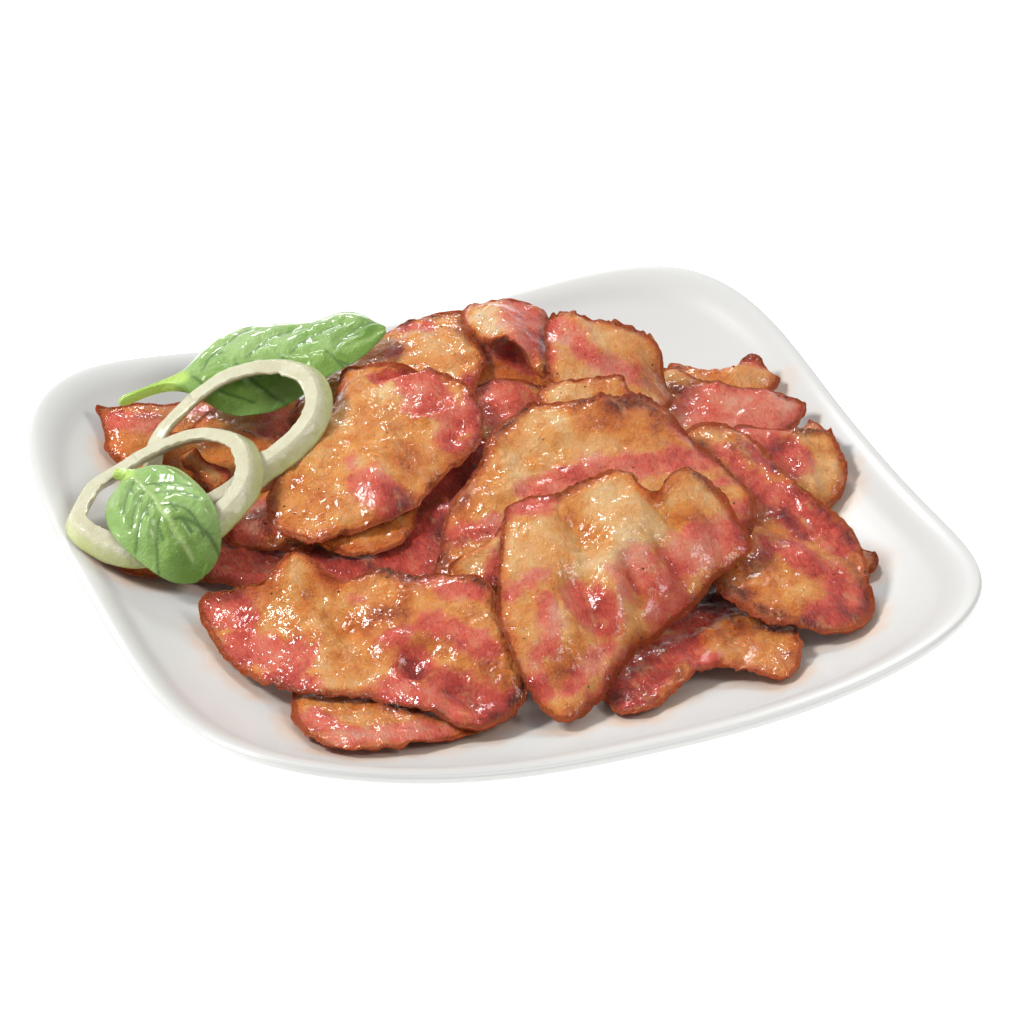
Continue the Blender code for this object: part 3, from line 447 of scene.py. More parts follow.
class Net:
    """Short ways of adding nodes to a material's or a geometry tree."""

    def __init__(self, tree):
        self.tree = tree

    def add(self, kind, inputs=(), **settings):
        node = self.tree.nodes.new(kind)
        for name, value in settings.items():
            setattr(node, name, value)
        return self.fill(node, inputs)

    def fill(self, node, inputs):
        """Links or sets the inputs of a node."""
        for key, value in dict(inputs).items():
            if isinstance(value, bpy.types.NodeSocket):
                self.tree.links.new(value, node.inputs[key])
            elif value is not None:
                node.inputs[key].default_value = value
        return node

    def math(self, operation, a, b=None, c=None, clamp=False):
        node = self.add("ShaderNodeMath", {0: a, 1: b, 2: c}, operation=operation, use_clamp=clamp)
        return node.outputs[0]

    def times(self, a, b, clamp=False):
        return self.math("MULTIPLY", a, b, None, clamp)

    def scaled(self, value, factor, offset, clamp=False):
        """The value times a factor, plus an offset."""
        return self.math("MULTIPLY_ADD", value, factor, offset, clamp)

    def bump(self, height, distance, strength=1.0, normal=None):
        """A normal bent by a height, whose unit is the distance in mm."""
        node = self.add("ShaderNodeBump", {"Strength": strength, "Distance": distance * MM, "Height": height,
                                           "Normal": normal})
        return node.outputs[0]

    def mix(self, share, *colours):
        """The first colour where the share is 0, the second where it is 1."""
        a, b = [(*colour, 1.0) if isinstance(colour, tuple) else colour for colour in colours]
        return self.add("ShaderNodeMix", {0: share, 6: a, 7: b}, data_type="RGBA").outputs[2]

    def between(self, value, low, high):
        """0 at low and 1 at high, smoothly."""
        node = self.add("ShaderNodeMapRange", {0: value, 1: low, 2: high}, interpolation_type="SMOOTHSTEP")
        return node.outputs[0]

    def noise(self, place, size, detail=3.0, roughness=0.5, distortion=0.0):
        """Noise around 0, from about -0.5 to 0.5, with lumps of about the size in mm."""
        node = self.add("ShaderNodeTexNoise", {"Vector": place, "Scale": 1.0 / (size * MM), "Detail": detail,
                                               "Roughness": roughness, "Distortion": distortion})
        return self.math("SUBTRACT", node.outputs[0], 0.5)

    def cells(self, place, size):
        """Distance from the nearest of many random spots that lie about the size in mm apart."""
        node = self.add("ShaderNodeTexVoronoi", {"Vector": place, "Scale": 1.0 / (size * MM)})
        return node.outputs["Distance"]

    def ramp(self, value, positions, colours):
        """Colours that follow one another at the positions."""
        node = self.add("ShaderNodeValToRGB", {0: value})
        elements = node.color_ramp.elements
        while len(elements) < len(positions):
            elements.new(0.5)
        for element, position, colour in zip(elements, positions, colours):
            element.position = position
            element.color = (*colour, 1.0)
        return node.outputs[0]

    def attribute(self, name):
        return self.add("ShaderNodeAttribute", attribute_name=name).outputs["Fac"]

    def stretched(self, place, turn, share):
        """Places turned about Z and drawn out along Y, for grain that runs one way."""
        return self.add("ShaderNodeMapping", {"Vector": place, "Rotation": (0.0, 0.0, turn),
                                              "Scale": (1.0, share, 1.0)}).outputs[0]


def geometry_tree(name, *inputs):
    """A geometry tree that takes a mesh and named numbers: its net and its inputs."""
    tree = bpy.data.node_groups.new(name, "GeometryNodeTree")
    net = Net(tree)
    tree.interface.new_socket("Geometry", in_out="INPUT", socket_type="NodeSocketGeometry")
    for number in inputs:
        kind = "NodeSocketInt" if number == "Seed" else "NodeSocketFloat"
        tree.interface.new_socket(number, in_out="INPUT", socket_type=kind)
    tree.interface.new_socket("Geometry", in_out="OUTPUT", socket_type="NodeSocketGeometry")
    return net, net.add("NodeGroupInput").outputs


def painted_tree(net, last, material):
    """Ends a geometry tree: what its last node makes, as one mesh with the material."""
    realized = net.add("GeometryNodeRealizeInstances", {0: last.outputs[0]})
    painted = net.add("GeometryNodeSetMaterial", {"Geometry": realized.outputs[0], "Material": material})
    net.add("NodeGroupOutput", {0: painted.outputs[0]})
    return net.tree


def new_material(name):
    """A material, its net, its Principled shader and its object coordinates."""
    material = bpy.data.materials.new(name)
    material.use_nodes = True
    net = Net(material.node_tree)
    shader = material.node_tree.nodes["Principled BSDF"]
    place = net.add("ShaderNodeTexCoord").outputs["Object"]
    return material, net, shader, place


# ---- materials

# From pale to dark brown, at these steps.
BROWNING = (0.0, 0.24, 0.46, 0.66, 0.84, 1.0)
FAT_COLOURS = [(0.98, 0.67, 0.37), (0.95, 0.53, 0.21), (0.88, 0.350, 0.074), (0.70, 0.185, 0.024),
               (0.40, 0.070, 0.011), (0.13, 0.026, 0.009)]
LEAN_COLOURS = [(0.93, 0.50, 0.36), (0.95, 0.31, 0.20), (0.88, 0.155, 0.092), (0.64, 0.068, 0.042),
                (0.36, 0.030, 0.020), (0.12, 0.012, 0.009)]
ORANGE_FAT = (0.80, 0.19, 0.028)
RIM_BROWN = (0.36, 0.056, 0.011)
CHAR = (0.095, 0.020, 0.010)
MARBLING = (0.86, 0.42, 0.19)
BROWN_SPECK = (0.24, 0.07, 0.02)
# Pairs of colours that clouds mix.
GLAZE = ((0.635, 0.635, 0.617), (0.66, 0.657, 0.64))
ONION_CUT = ((0.56, 0.53, 0.35), (0.63, 0.61, 0.45))
ONION_SKIN = ((0.46, 0.50, 0.15), (0.56, 0.58, 0.29))
SPINACH_DARK = ((0.13, 0.27, 0.030), (0.20, 0.36, 0.050))
# The spinach's painted sheen: a lit, paler copy of its green.
SPINACH_PAINTED_SHEEN = ((0.23, 0.42, 0.08), (0.35, 0.54, 0.18))
WARM_TINT_ON_GLAZE = (0.74, 0.42, 0.22)
ONION_LINE = (0.52, 0.58, 0.18)
SPINACH_VEIN = (0.055, 0.13, 0.015)
SPINACH_RIB = (0.42, 0.58, 0.20)
SPINACH_STEM = (0.45, 0.66, 0.12)


def bacon_material():
    """Fried bacon: golden fat and pink lean with fibres, browned towards the rim, charred here and there."""
    material, net, shader, place = new_material("fried_bacon")
    lean_edge, browning_and_painted_light, rim, char_edge, tint = [
        net.attribute(name) for name in ("lean", "browning_and_painted_light", "rim", "char", "tint")]

    wander = net.noise(place, 6.0, 3.0, 0.6)
    fine = net.noise(place, 0.8, 3.0, 0.7)
    fibres = net.noise(net.stretched(place, 0.6, 0.22), 0.6, 3.0, 0.7, 0.3)
    edge = net.scaled(wander, 8.0, lean_edge)
    edge = net.scaled(fibres, 3.0, edge)
    edge = net.scaled(net.noise(place, 2.4, 3.0, 0.6), 4.0, edge)
    lean = net.between(edge, 2.4, -1.2)

    cloud = net.noise(place, 9.0, 3.0, 0.6)
    # The tone raises the browning: partly real browning, partly painted shade above 0 and painted highlights
    # below it.
    level = net.math("ADD", net.scaled(browning_and_painted_light, 0.45, 0.47), cloud)
    level = net.scaled(net.between(rim, 4.5, 0.2), 0.22, level)
    fat_level = net.scaled(fine, 0.42, level, True)
    lean_level = net.scaled(fibres, 0.55, level, True)
    fat = net.ramp(fat_level, BROWNING, FAT_COLOURS)
    orange = net.times(net.math("ADD", net.between(rim, 3.2, 0.5), tint), 0.72, True)
    fat = net.mix(orange, fat, ORANGE_FAT)
    colour = net.mix(lean, fat, net.ramp(lean_level, BROWNING, LEAN_COLOURS))

    marbling = net.noise(net.stretched(place, 0.9, 0.35), 3.4, 3.0, 0.65)
    colour = net.mix(net.times(net.between(marbling, 0.02, 0.20), 0.42), colour, MARBLING)

    charred = net.scaled(wander, 4.0, char_edge)
    charred = net.scaled(fine, 4.2, charred)
    scorched = net.between(charred, 2.4, -0.4)
    colour = net.mix(net.times(scorched, 0.7), colour, RIM_BROWN)
    colour = net.mix(net.times(net.between(charred, 0.1, -1.3), 0.85), colour, CHAR)
    thin_rim = net.scaled(wander, -2.6, rim)
    thin_rim = net.scaled(fine, 1.3, thin_rim)
    colour = net.mix(net.times(net.between(thin_rim, 1.25, 0.3), 0.88), colour, RIM_BROWN)

    speck = net.between(net.cells(place, 6.0), 0.075, 0.045)
    colour = net.mix(net.times(speck, 0.6), colour, BROWN_SPECK)

    bubbles = net.cells(place, 1.5)
    bubbly = net.between(net.noise(place, 8.0), -0.08, 0.14)
    relief = net.times(net.times(bubbles, -0.8), bubbly)
    relief = net.scaled(net.noise(place, 2.2, 2.0), 1.3, relief)
    coarse = net.bump(relief, COARSE_BUMP)
    grain = net.scaled(fibres, net.scaled(lean, 0.5, 0.5), fine)
    bump = net.bump(grain, FINE_BUMP, 1.0, coarse)

    film_relief = net.scaled(net.noise(place, 1.1, 2.0), 1.5, relief)
    film_bump = net.bump(film_relief, FAT_FILM_BUMP)

    wet = net.between(net.noise(place, 5.0, 3.0, 0.65), -0.16, 0.06)
    roughness = net.scaled(wet, -0.22, 0.50)
    coat = net.times(net.scaled(wet, 0.75, 0.25), net.between(rim, 0.0, 1.8))
    net.fill(shader, {
        "Base Color": colour, "Roughness": roughness, "Normal": bump, "Specular IOR Level": 0.35,
        "Subsurface Weight": 0.35, "Subsurface Radius": (1.0, 0.30, 0.10), "Subsurface Scale": 1.6 * MM,
        "Coat Weight": coat, "Coat Roughness": 0.06, "Coat IOR": 1.45,
        "Coat Normal": film_bump})
    return material


def porcelain_material():
    """White glazed porcelain, faintly wavy, with a warm tint beside the low slices."""
    material, net, shader, place = new_material("white_glaze")
    cloud = net.noise(place, 60.0, 2.0)
    colour = net.mix(net.between(cloud, -0.3, 0.3), *GLAZE)
    near_slices = net.attribute("warm_tint")
    # A warm tint on the glaze next to the low slices, broken up by noise.
    tinted = net.scaled(net.noise(place, 7.0), 0.9, near_slices)
    tinted = net.times(net.between(tinted, 0.25, 1.1), net.between(near_slices, 0.0, 0.2))
    colour = net.mix(net.times(tinted, 0.5), colour, WARM_TINT_ON_GLAZE)
    waves = net.noise(place, 14.0, 2.0)
    bump = net.bump(waves, GLAZE_BUMP, GLAZE_BUMP_STRENGTH)
    roughness = net.scaled(net.noise(place, 25.0, 2.0), 0.05, 0.38)
    net.fill(shader, {
        "Base Color": colour, "Roughness": roughness, "Normal": bump,
        "Coat Weight": 0.15, "Coat Roughness": 0.22})
    return material


def onion_material():
    """Onion flesh: cream on the cut, yellow-green skin outside with fine lines across the wall."""
    material, net, shader, place = new_material("onion_flesh")
    skin = net.attribute("skin")
    turned = net.add("ShaderNodeCombineXYZ", {0: net.attribute("around")}).outputs[0]
    lines = net.noise(turned, 1.3, 3.0, 0.6)
    cloud = net.noise(place, 6.0)
    pale = net.mix(net.between(cloud, -0.25, 0.25), *ONION_CUT)
    green = net.mix(net.between(cloud, -0.2, 0.3), *ONION_SKIN)
    green = net.mix(net.times(net.between(lines, 0.0, 0.2), 0.4), green, ONION_LINE)
    colour = net.mix(net.between(skin, 0.35, 0.75), pale, green)
    fibre = net.noise(place, 0.7, 3.0, 0.65)
    height = net.scaled(lines, 0.8, fibre)
    bump = net.bump(height, ONION_BUMP)
    net.fill(shader, {
        "Base Color": colour, "Roughness": 0.30, "Normal": bump,
        "Subsurface Weight": 0.5, "Subsurface Radius": (1.0, 0.9, 0.55), "Subsurface Scale": 2.0 * MM,
        "Coat Weight": 0.4, "Coat Roughness": 0.14})
    return material


def spinach_material():
    """Spinach leaf: green blade with thin sunken veins, a pale midrib, a wet shine and a painted sheen on one
    half.
    """
    material, net, shader, place = new_material("spinach_leaf")
    cloud = net.noise(place, 10.0)
    # Painted sheen: a paler, lit green on the half of the blade that faces the light.
    painted_sheen_side = net.attribute("painted_sheen_side")
    blade = net.mix(net.between(cloud, -0.25, 0.25), *SPINACH_DARK)
    light = net.mix(net.between(cloud, -0.25, 0.25), *SPINACH_PAINTED_SHEEN)
    blade = net.mix(painted_sheen_side, blade, light)
    colour = net.mix(net.times(net.attribute("side_vein"), 0.8), blade, SPINACH_VEIN)
    colour = net.mix(net.attribute("midrib"), colour, SPINACH_RIB)
    colour = net.mix(net.attribute("stem"), colour, SPINACH_STEM)
    grain = net.noise(place, 0.8, 3.0, 0.65)
    relief = net.scaled(grain, 0.7, net.noise(place, 2.6))
    bump = net.bump(relief, SPINACH_BUMP)
    roughness = net.scaled(painted_sheen_side, -0.12, 0.42)
    net.fill(shader, {
        "Base Color": colour, "Roughness": roughness, "Normal": bump, "Specular IOR Level": 0.5,
        "Subsurface Weight": 0.15, "Subsurface Radius": (0.4, 1.0, 0.2), "Subsurface Scale": 1.0 * MM,
        "Coat Weight": net.scaled(painted_sheen_side, 0.7, 0.25), "Coat Roughness": 0.13})
    return material


def speck_material(name, colour, roughness, gloss):
    """A small loose thing: one colour with a little unevenness."""
    material, net, shader, place = new_material(name)
    darker = tuple(0.55 * part for part in colour)
    mixed = net.mix(net.between(net.noise(place, 0.5, 2.0), -0.2, 0.2), darker, colour)
    net.fill(shader, {"Base Color": mixed, "Roughness": roughness, "Coat Weight": gloss})
    return material


# ---- slices

def slice_relief(points, band, normals, seed, look):
    """A slice's points after folds, puckers, blisters and a ragged, thinned rim, and its painted values."""
    gap, nearest = rim_of(points, band)
    places = points[:, :2].copy()
    rim_place = points[nearest]
    outward = normals[nearest].copy()
    outward[:, 2] = 0.0
    outward /= np.maximum(np.linalg.norm(outward, axis=1, keepdims=True), 1e-6)
    lean_edge = patch_edge(places, look["lean"])
    char_edge = patch_edge(places, look["char"])
    fatness = unit(0.5 + lean_edge / 3.0)
    near_rim = fade(gap, RIM_REACH)

    flat = points * (1.0, 1.0, 0.4)
    lift = FOLD_DEPTH * soft_sum(places, look["folds"])
    lift += LARGE_PUCKER * lumps(flat, LARGE_PUCKER_SIZE, seed)
    lift += SMALL_PUCKER * lumps(flat, SMALL_PUCKER_SIZE, seed + 1)
    creases = 1.0 - 2.0 * np.abs(noise(flat, CREASE_SPACING, seed + 9))
    lift -= CREASE_DEPTH * unit(creases - 0.45)
    lift += (0.16 + 0.14 * fatness) * noise(flat, 1.9, seed + 2)
    bubbly = unit(noise(flat, 8.0, seed + 3) + 0.45)
    lift += BLISTER_HEIGHT * (1.0 + fatness) * bubbly * blisters(places, BLISTER_SPACING, seed)
    lift -= 0.25 * (1.0 - fatness)
    rim_wave = RIM_WAVE * lumps(rim_place, RIM_WAVE_SIZE, seed + 4) + 0.22 * noise(rim_place, 2.4, seed + 5)
    lift += near_rim * rim_wave
    lift += 0.8 * np.clip(0.6 - char_edge, 0.0, 1.5) * np.abs(noise(flat, 1.5, seed + 6))

    ragged = RAGGEDNESS * lumps(rim_place, RAGGED_SIZE, seed + 7)
    ragged += 0.30 * noise(rim_place, 1.8, seed + 8) - 0.3
    moved = points.copy()
    moved[:, 2] += lift
    moved += outward * (ragged * fade(gap, 2.2))[:, None]
    moved[:, 2] -= RIM_THINNING * np.clip(1.4 * normals[:, 2], -1.0, 1.0) * fade(gap, 2.5)
    # The tone carries real browning together with painted shade and painted highlights.
    return moved, {"lean": lean_edge, "browning_and_painted_light": soft_sum(places, look["browning_and_painted_light"]), "rim": np.minimum(gap, 12.0),
                   "char": char_edge, "tint": np.full(len(points), look["tint"])}


def make_slice(node, seed, look, material, slot):
    mesh = refined_copy(node, look["levels"])
    moved, values = slice_relief(points_of(mesh), read_values(mesh, "band"), normals_of(mesh), seed, look)
    return dressed("bacon_" + node, node, mesh, moved, values, material, slot)


# ---- garnish

def make_onion_ring(node, material):
    """An onion ring: a cream cut face on top, a green skin outside, and a torn membrane inside."""
    mesh = refined_copy(node, 3, 0.75)
    points = points_of(mesh)
    normals = normals_of(mesh)
    centre = points.mean(axis=0)
    spread = np.linalg.svd(points - centre, full_matrices=False)[2]
    up = spread[2] * np.sign(spread[2][2])
    from_centre = points - centre
    outward = from_centre - np.outer(from_centre @ up, up)
    reach = np.linalg.norm(outward, axis=1)
    outward /= reach[:, None]
    facing_out = (normals * outward).sum(axis=1)
    facing_up = normals @ up
    radius = reach.mean()
    angle = np.arctan2(outward @ spread[0], outward @ spread[1])
    inner_edge = unit(-facing_out) * unit(facing_up + 0.6)
    circle = radius * np.column_stack([np.cos(angle), np.sin(angle), np.zeros(len(points))])
    torn = unit(noise(circle, 5.0, 33) - 0.1) + 0.35 * noise(circle, 1.6, 34)
    wobble = 0.9 * noise(circle, 11.0, 35)
    lift = 0.22 * lumps(points, 7.0, 31) + 0.10 * noise(points, 1.6, 32)
    points = points + normals * lift[:, None] + outward * (wobble - 1.4 * inner_edge * torn)[:, None]
    values = {"skin": facing_out - 0.35 * unit(facing_up), "around": angle * radius * MM}
    return dressed(node + "_flesh", node, mesh, points, values, material, "onion")


# Pairs of side veins on a leaf, and how often its solid's faces are divided.
SIDE_VEINS = 4
LEAF_LEVELS = 4
# Each leaf's midrib and how far its side veins reach; its stem, (x0, y0, x1, y1), and its tip, which stays
# dark because the painted sheen fades out there, with a radius. The half to the midrib's left gets the
# painted sheen fully and the other half by its own share. rib: how pale the midrib is. pucker: how high the
# blade swells between veins, in mm.
LEAVES = {
    "spinach_leaf_large": dict(
        midrib=[(-84, 83), (-69, 80), (-62, 79), (-52, 77.5), (-41, 73.5), (-31, 70), (-20, 67.5), (-12, 69),
                (-6, 72)],
        reach=19.0, seed=41, stem=(-84, 83, -66, 80), tip=(-12, 70, -4, 74, 9),
        other_half=0.0, rib=0.30, pucker=1.1),
    "spinach_leaf_small": dict(
        midrib=[(-97, 47), (-93, 42), (-92, 36), (-91, 28), (-91, 20), (-89, 14), (-86, 10)],
        reach=13.0, seed=42, stem=(-97, 47, -94, 43), tip=(-90, 12, -84, 6, 8),
        other_half=0.8, rib=0.9, pucker=2.0),
}


def vein_lines(leaf):
    """The midrib's stretches, and side veins that leave it in turn on both sides and bend forwards."""
    midrib = np.array(leaf["midrib"], float)
    lengths = np.linalg.norm(np.diff(midrib, axis=0), axis=1)
    along = np.concatenate([[0.0], np.cumsum(lengths)])
    main = [(*a, *b) for a, b in zip(midrib[:-1], midrib[1:])]
    side = []
    for number in range(SIDE_VEINS):
        share = 0.28 + 0.64 * number / SIDE_VEINS
        foot, ahead = [np.array([np.interp(share * along[-1] + further, along, line) for line in midrib.T])
                       for further in (0.0, 2.0)]
        ahead -= foot
        ahead /= np.linalg.norm(ahead)
        for turn in (-1.0, 1.0):
            across = turn * np.array([-ahead[1], ahead[0]])
            place = foot + ahead * (1.6 * turn)
            for step in range(4):
                bend = 0.7 + 0.35 * step
                run = (across + ahead * bend) / math.hypot(1.0, bend) * leaf["reach"] * 0.28
                side.append((*place, *(place + run)))
                if step == 1:
                    fork = (across * 0.25 + ahead) * leaf["reach"] * 0.22
                    side.append((*place, *(place + fork)))
                place = place + run
    return main, side


def nearest_line(places, lines):
    """Distance to the nearest line, and 1 to the left of that line and 0 to its right."""
    distances = np.array([line_distance(places, line) for line in lines])
    chosen = np.array(lines, float)[distances.argmin(axis=0)]
    run = chosen[:, 2:4] - chosen[:, :2]
    off = places - chosen[:, :2]
    left = (run[:, 0] * off[:, 1] - run[:, 1] * off[:, 0]) > 0.0
    return distances.min(axis=0), left.astype(float)


def make_leaf(node, leaf, material):
    """A spinach leaf: its blade swells between sunken veins."""
    mesh = refined_copy(node, LEAF_LEVELS)
    points = points_of(mesh)
    places = points[:, :2]
    gap = rim_of(points, read_values(mesh, "band"))[0]
    main, side = vein_lines(leaf)
    to_main, left = nearest_line(places, main)
    to_side = nearest_line(places, side)[0]
    stem = unit(1.0 - (line_distance(places, leaf["stem"]) - 1.2) / 2.0)
    inside = 1.0 - fade(gap, 2.5)
    swell = 1.0 - fade(np.minimum(to_main * 0.8, to_side), 2.0)
    lift = leaf["pucker"] * swell * inside + 0.6 * lumps(points, 9.0, leaf["seed"])
    crinkle = 0.35 * noise(points, 3.2, leaf["seed"] + 1) + 0.15 * noise(points, 1.6, leaf["seed"] + 2)
    lift += inside * crinkle
    points[:, 2] += lift * (1.0 - stem)
    at_tip = fade(line_distance(places, leaf["tip"]), leaf["tip"][4])
    # Painted sheen: the lit half of the blade, fading at the midrib and at the tip.
    sheen_share = np.maximum(left, leaf["other_half"])
    values = {"midrib": leaf["rib"] * fade(to_main, 0.7), "side_vein": fade(to_side, 0.45), "stem": stem,
              "painted_sheen_side": sheen_share * unit(to_main / 1.5) * (1.0 - at_tip)}
    return dressed(node + "_blade", node, mesh, points, values, material, "spinach")


# ---- plate

def plate_tree(material):
    """A grid bent into a plate: one way runs round a rounded square, the other along the plate's profile."""
    net, sizes = geometry_tree("square_plate", "Half Side", "Squareness", "Corner Rise")
    grid = net.add("GeometryNodeMeshGrid", {
        "Size X": 1.0, "Size Y": 1.0, "Vertices X": PLATE_ROWS, "Vertices Y": PLATE_COLUMNS})
    parts = net.add("ShaderNodeSeparateXYZ", {0: net.add("GeometryNodeInputPosition").outputs[0]}).outputs
    along = net.math("ADD", parts[0], 0.5)
    turn = net.times(net.math("ADD", parts[1], 0.5), math.tau)

    def profile(column, scale):
        node = net.add("ShaderNodeFloatCurve", {"Value": along})
        curve = node.mapping.curves[0]
        count = len(PLATE_PROFILE)
        for number, step in enumerate(PLATE_PROFILE):
            place = (number / (count - 1), step[column] / scale)
            if number in (0, count - 1):
                curve.points[0 if number == 0 else -1].location = place
            else:
                curve.points.new(*place)
        for point in curve.points:
            point.handle_type = "AUTO_CLAMPED"
        node.mapping.update()
        return node.outputs[0]

    share = profile(0, PLATE_HALF_SIDE)
    height = net.times(profile(1, PLATE_HEIGHT_SCALE), PLATE_HEIGHT_SCALE * MM)
    cosine = net.math("COSINE", turn)
    sine = net.math("SINE", turn)
    squareness = sizes["Squareness"]
    powers = [net.math("POWER", net.math("ABSOLUTE", side), squareness) for side in (cosine, sine)]
    inverse = net.math("DIVIDE", -1.0, squareness)
    reach = net.math("POWER", net.math("ADD", *powers), inverse)
    beyond = net.math("DIVIDE", net.math("SUBTRACT", reach, 1.0), CORNER_REACH)
    corner = net.math("POWER", net.math("MAXIMUM", beyond, 0.0), CORNER_RISE_POWER)
    outer = net.math("POWER", net.scaled(share, 2.0, -1.0, True), CORNER_FADE_POWER)
    rise = net.times(net.times(corner, outer), sizes["Corner Rise"])
    radius = net.times(net.times(share, sizes["Half Side"]), reach)
    bent = net.add("ShaderNodeCombineXYZ", {0: net.times(radius, cosine),
                                              1: net.times(radius, sine),
                                              2: net.math("ADD", height, rise)}).outputs[0]
    moved = net.add("GeometryNodeSetPosition", {"Geometry": grid.outputs["Mesh"], "Position": bent})
    joined = net.add("GeometryNodeMergeByDistance", {"Geometry": moved.outputs[0], "Distance": 0.01 * MM})
    return painted_tree(net, joined, material)


def grown(name, mesh, tree, sizes):
    """The plain mesh that a geometry tree makes from a mesh, with the tree's named inputs set."""
    piece = link(name, mesh)
    modifier = piece.modifiers.new(name, "NODES")
    modifier.node_group = tree
    for socket in tree.interface.items_tree:
        if socket.in_out == "INPUT" and socket.name in sizes:
            modifier[socket.identifier] = sizes[socket.name]
    made = evaluated_mesh(piece)
    piece.modifiers.clear()
    bpy.data.objects.remove(piece)
    return made


def warm_tint_on(mesh, slices):
    """How close each point of the plate's top is to the low parts of the slices, 1 at them and 0 far away."""
    low = np.concatenate([points_of(piece.data)[::TINT_STEP] for piece in slices])
    low = low[low[:, 2] < TINT_HEIGHT]
    tree = search_tree(low)
    points = points_of(mesh)
    gap = np.array([tree.find(point)[2] for point in points])
    return fade(gap, TINT_REACH) * (normals_of(mesh)[:, 2] > 0.0)


def make_plate(material, slices):
    sizes = {"Half Side": PLATE_HALF_SIDE * MM, "Squareness": PLATE_SQUARENESS,
             "Corner Rise": CORNER_RISE * MM}
    mesh = grown("plate_shape", bpy.data.meshes.new("plate_start"), plate_tree(material), sizes)
    shape = bmesh.new()
    shape.from_mesh(mesh)
    bmesh.ops.recalc_face_normals(shape, faces=shape.faces)
    shape.to_mesh(mesh)
    shape.free()
    write_values(mesh, "warm_tint", warm_tint_on(mesh, slices))
    return finished("porcelain_plate", mesh, "porcelain", "plate")


# ---- loose specks

# Loose things on the slices: width in mm, most per square cm, flatness and seed, then the name, colour,
# roughness and gloss of what they are made of.
SPECKS = {
    "pepper_grains": dict(width=0.62, density=0.55, flat=0.7, seed=3,
                          made_of=("pepper", (0.055, 0.035, 0.022), 0.7, 0.0)),
    "crust_crumbs": dict(width=0.85, density=7.0, flat=0.6, seed=5,
                         made_of=("dark_crust", (0.10, 0.028, 0.014), 0.35, 0.5)),
    "oil_beads": dict(width=0.8, density=1.2, flat=0.45, seed=7,
                      made_of=("golden_oil", (0.78, 0.34, 0.09), 0.08, 1.0)),
}


def scatter_tree(material):
    """Small lumps strewn over a surface, more of them where its "share" is high."""
    net, given = geometry_tree("strewn_specks", "Width", "Density", "Flatness", "Seed")
    share = net.add("GeometryNodeInputNamedAttribute", {"Name": "share"}, data_type="FLOAT").outputs[0]
    density = net.times(share, given["Density"])
    spots = net.add("GeometryNodeDistributePointsOnFaces", {
        "Mesh": given["Geometry"], "Density": density, "Seed": given["Seed"]})
    lump = net.add("GeometryNodeMeshIcoSphere", {"Radius": 0.5, "Subdivisions": 2})
    jitter = net.add("FunctionNodeRandomValue", {2: 0.5, 3: 1.25, "Seed": given["Seed"]},
                       data_type="FLOAT").outputs[1]
    width = net.times(jitter, given["Width"])
    size = net.add("ShaderNodeCombineXYZ", {0: width, 1: net.times(width, 0.8),
                                              2: net.times(width, given["Flatness"])}).outputs[0]
    strewn = net.add("GeometryNodeInstanceOnPoints", {
        "Points": spots.outputs["Points"], "Instance": lump.outputs["Mesh"],
        "Rotation": spots.outputs["Rotation"], "Scale": size})
    return painted_tree(net, strewn, material)


def slices_top(slices):
    """One mesh of all slices' upper faces."""
    shape = bmesh.new()
    for piece in slices:
        shape.from_mesh(piece.data)
    under = [face for face in shape.faces if face.normal.z < 0.2]
    bmesh.ops.delete(shape, geom=under, context="FACES")
    mesh = bpy.data.meshes.new("slices_top")
    shape.to_mesh(mesh)
    shape.free()
    return mesh


def make_specks(name, look, slices):
    """Strews one kind of speck over the slices: crumbs at charred places, beads of fat away from the rims."""
    material = speck_material(*look["made_of"])
    mesh = slices_top(slices)
    points = points_of(mesh)
    patches = unit(1.6 * lumps(points, 12.0, look["seed"]))
    rim = read_values(mesh, "rim")
    if name == "crust_crumbs":
        share = unit(1.2 - read_values(mesh, "char")) * unit(rim)
    elif name == "oil_beads":
        share = patches * unit(rim / 3.0)
    else:
        share = 0.4 + patches
    write_values(mesh, "share", share)
    sizes = {"Width": look["width"] * MM, "Density": look["density"] * PER_SQUARE_CM,
             "Flatness": look["flat"], "Seed": look["seed"]}
    return finished(name, grown(name, mesh, scatter_tree(material), sizes), "bacon_fatty")


# ---- stage

def make_floor():
    mesh = bpy.data.meshes.new("floor")
    half = 6.0
    corners = [(-half, -half, 0), (half, -half, 0), (half, half, 0), (-half, half, 0)]
    mesh.from_pydata(corners, [], [(0, 1, 2, 3)])
    material, net, shader = new_material("pale_floor")[:3]
    net.fill(shader, {
        "Base Color": (0.93, 0.93, 0.93, 1.0), "Roughness": 0.8, "Specular IOR Level": 0.1,
        "Emission Color": (1.0, 1.0, 1.0, 1.0), "Emission Strength": FLOOR_GLOW})
    mesh.materials.append(material)
    link("floor", mesh)


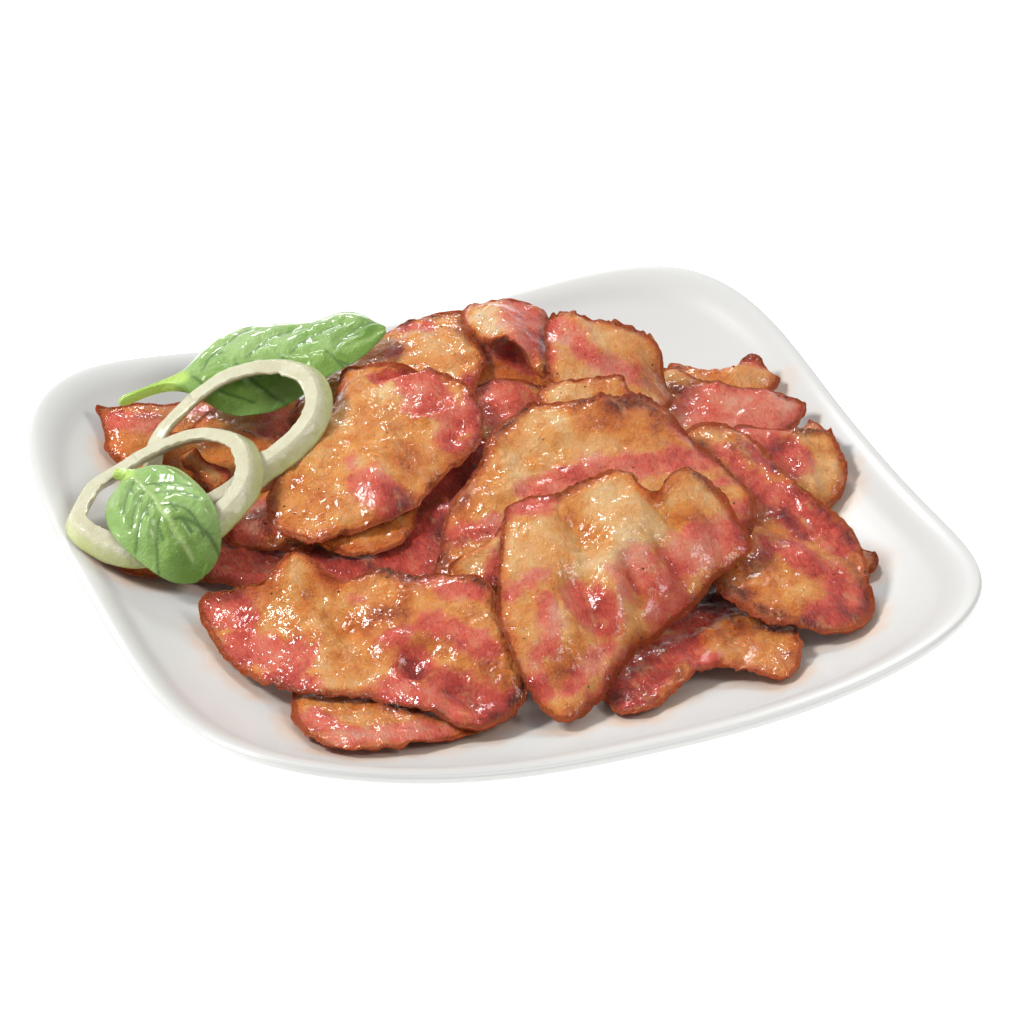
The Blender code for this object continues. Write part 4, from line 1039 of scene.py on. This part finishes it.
def make_light(name, place, size, power):
    """A square white light that faces the heap; place and size are in metres, power in watts."""
    lamp = bpy.data.lights.new(name, "AREA")
    lamp.size = size
    lamp.energy = power
    light = link(name, lamp)
    light.location = place
    light.rotation_euler = (Vector((0.0, 0.0, 0.02)) - Vector(place)).to_track_quat("-Z", "Y").to_euler()


def make_stage():
    make_floor()
    world = bpy.data.worlds.new("studio")
    bpy.context.scene.world = world
    world.use_nodes = True
    background = world.node_tree.nodes["Background"]
    background.inputs["Color"].default_value = (1.0, 1.0, 1.0, 1.0)
    background.inputs["Strength"].default_value = ROOM_LIGHT
    make_light("key", (-0.95, 0.42, 1.05), 0.36, 17.6)
    make_light("fill", (0.8, -1.0, 1.2), 0.6, 9.4)
    make_light("glint", (0.25, 1.35, 0.95), 0.26, 6.0)
    bpy.context.scene.view_settings.view_transform = "Standard"


def make_camera():
    azimuth = math.radians(CAMERA_AZIMUTH)
    elevation = math.radians(CAMERA_ELEVATION)
    level = math.cos(elevation)
    back = Vector((math.sin(azimuth) * level, -math.cos(azimuth) * level, math.sin(elevation)))
    right = Vector((math.cos(azimuth), math.sin(azimuth), 0.0))
    up = back.cross(right)
    camera = link("camera", bpy.data.cameras.new("camera"))
    camera.location = (back * CAMERA_DISTANCE + right * CAMERA_RIGHT + up * CAMERA_UP) * MM
    camera.rotation_euler = (-back).to_track_quat("-Z", "Y").to_euler()
    camera.data.lens = LENS
    bpy.context.scene.camera = camera


def main():
    make_camera()
    make_stage()
    slots = {part["node"]: part["material_slot"] for part in frame["record"]["subparts"]}
    bacon = bacon_material()
    slices = [make_slice("slice_" + name, seed, {**PLAIN_SLICE, **look}, bacon, slots["slice_" + name])
              for seed, (name, look) in enumerate(SLICES.items(), 1)]
    make_plate(porcelain_material(), slices)
    for name, look in SPECKS.items():
        make_specks(name, look, slices)
    onion = onion_material()
    for node in ("onion_ring_large", "onion_ring_small"):
        make_onion_ring(node, onion)
    spinach = spinach_material()
    for node, leaf in LEAVES.items():
        make_leaf(node, leaf, spinach)
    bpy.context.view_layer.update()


main()
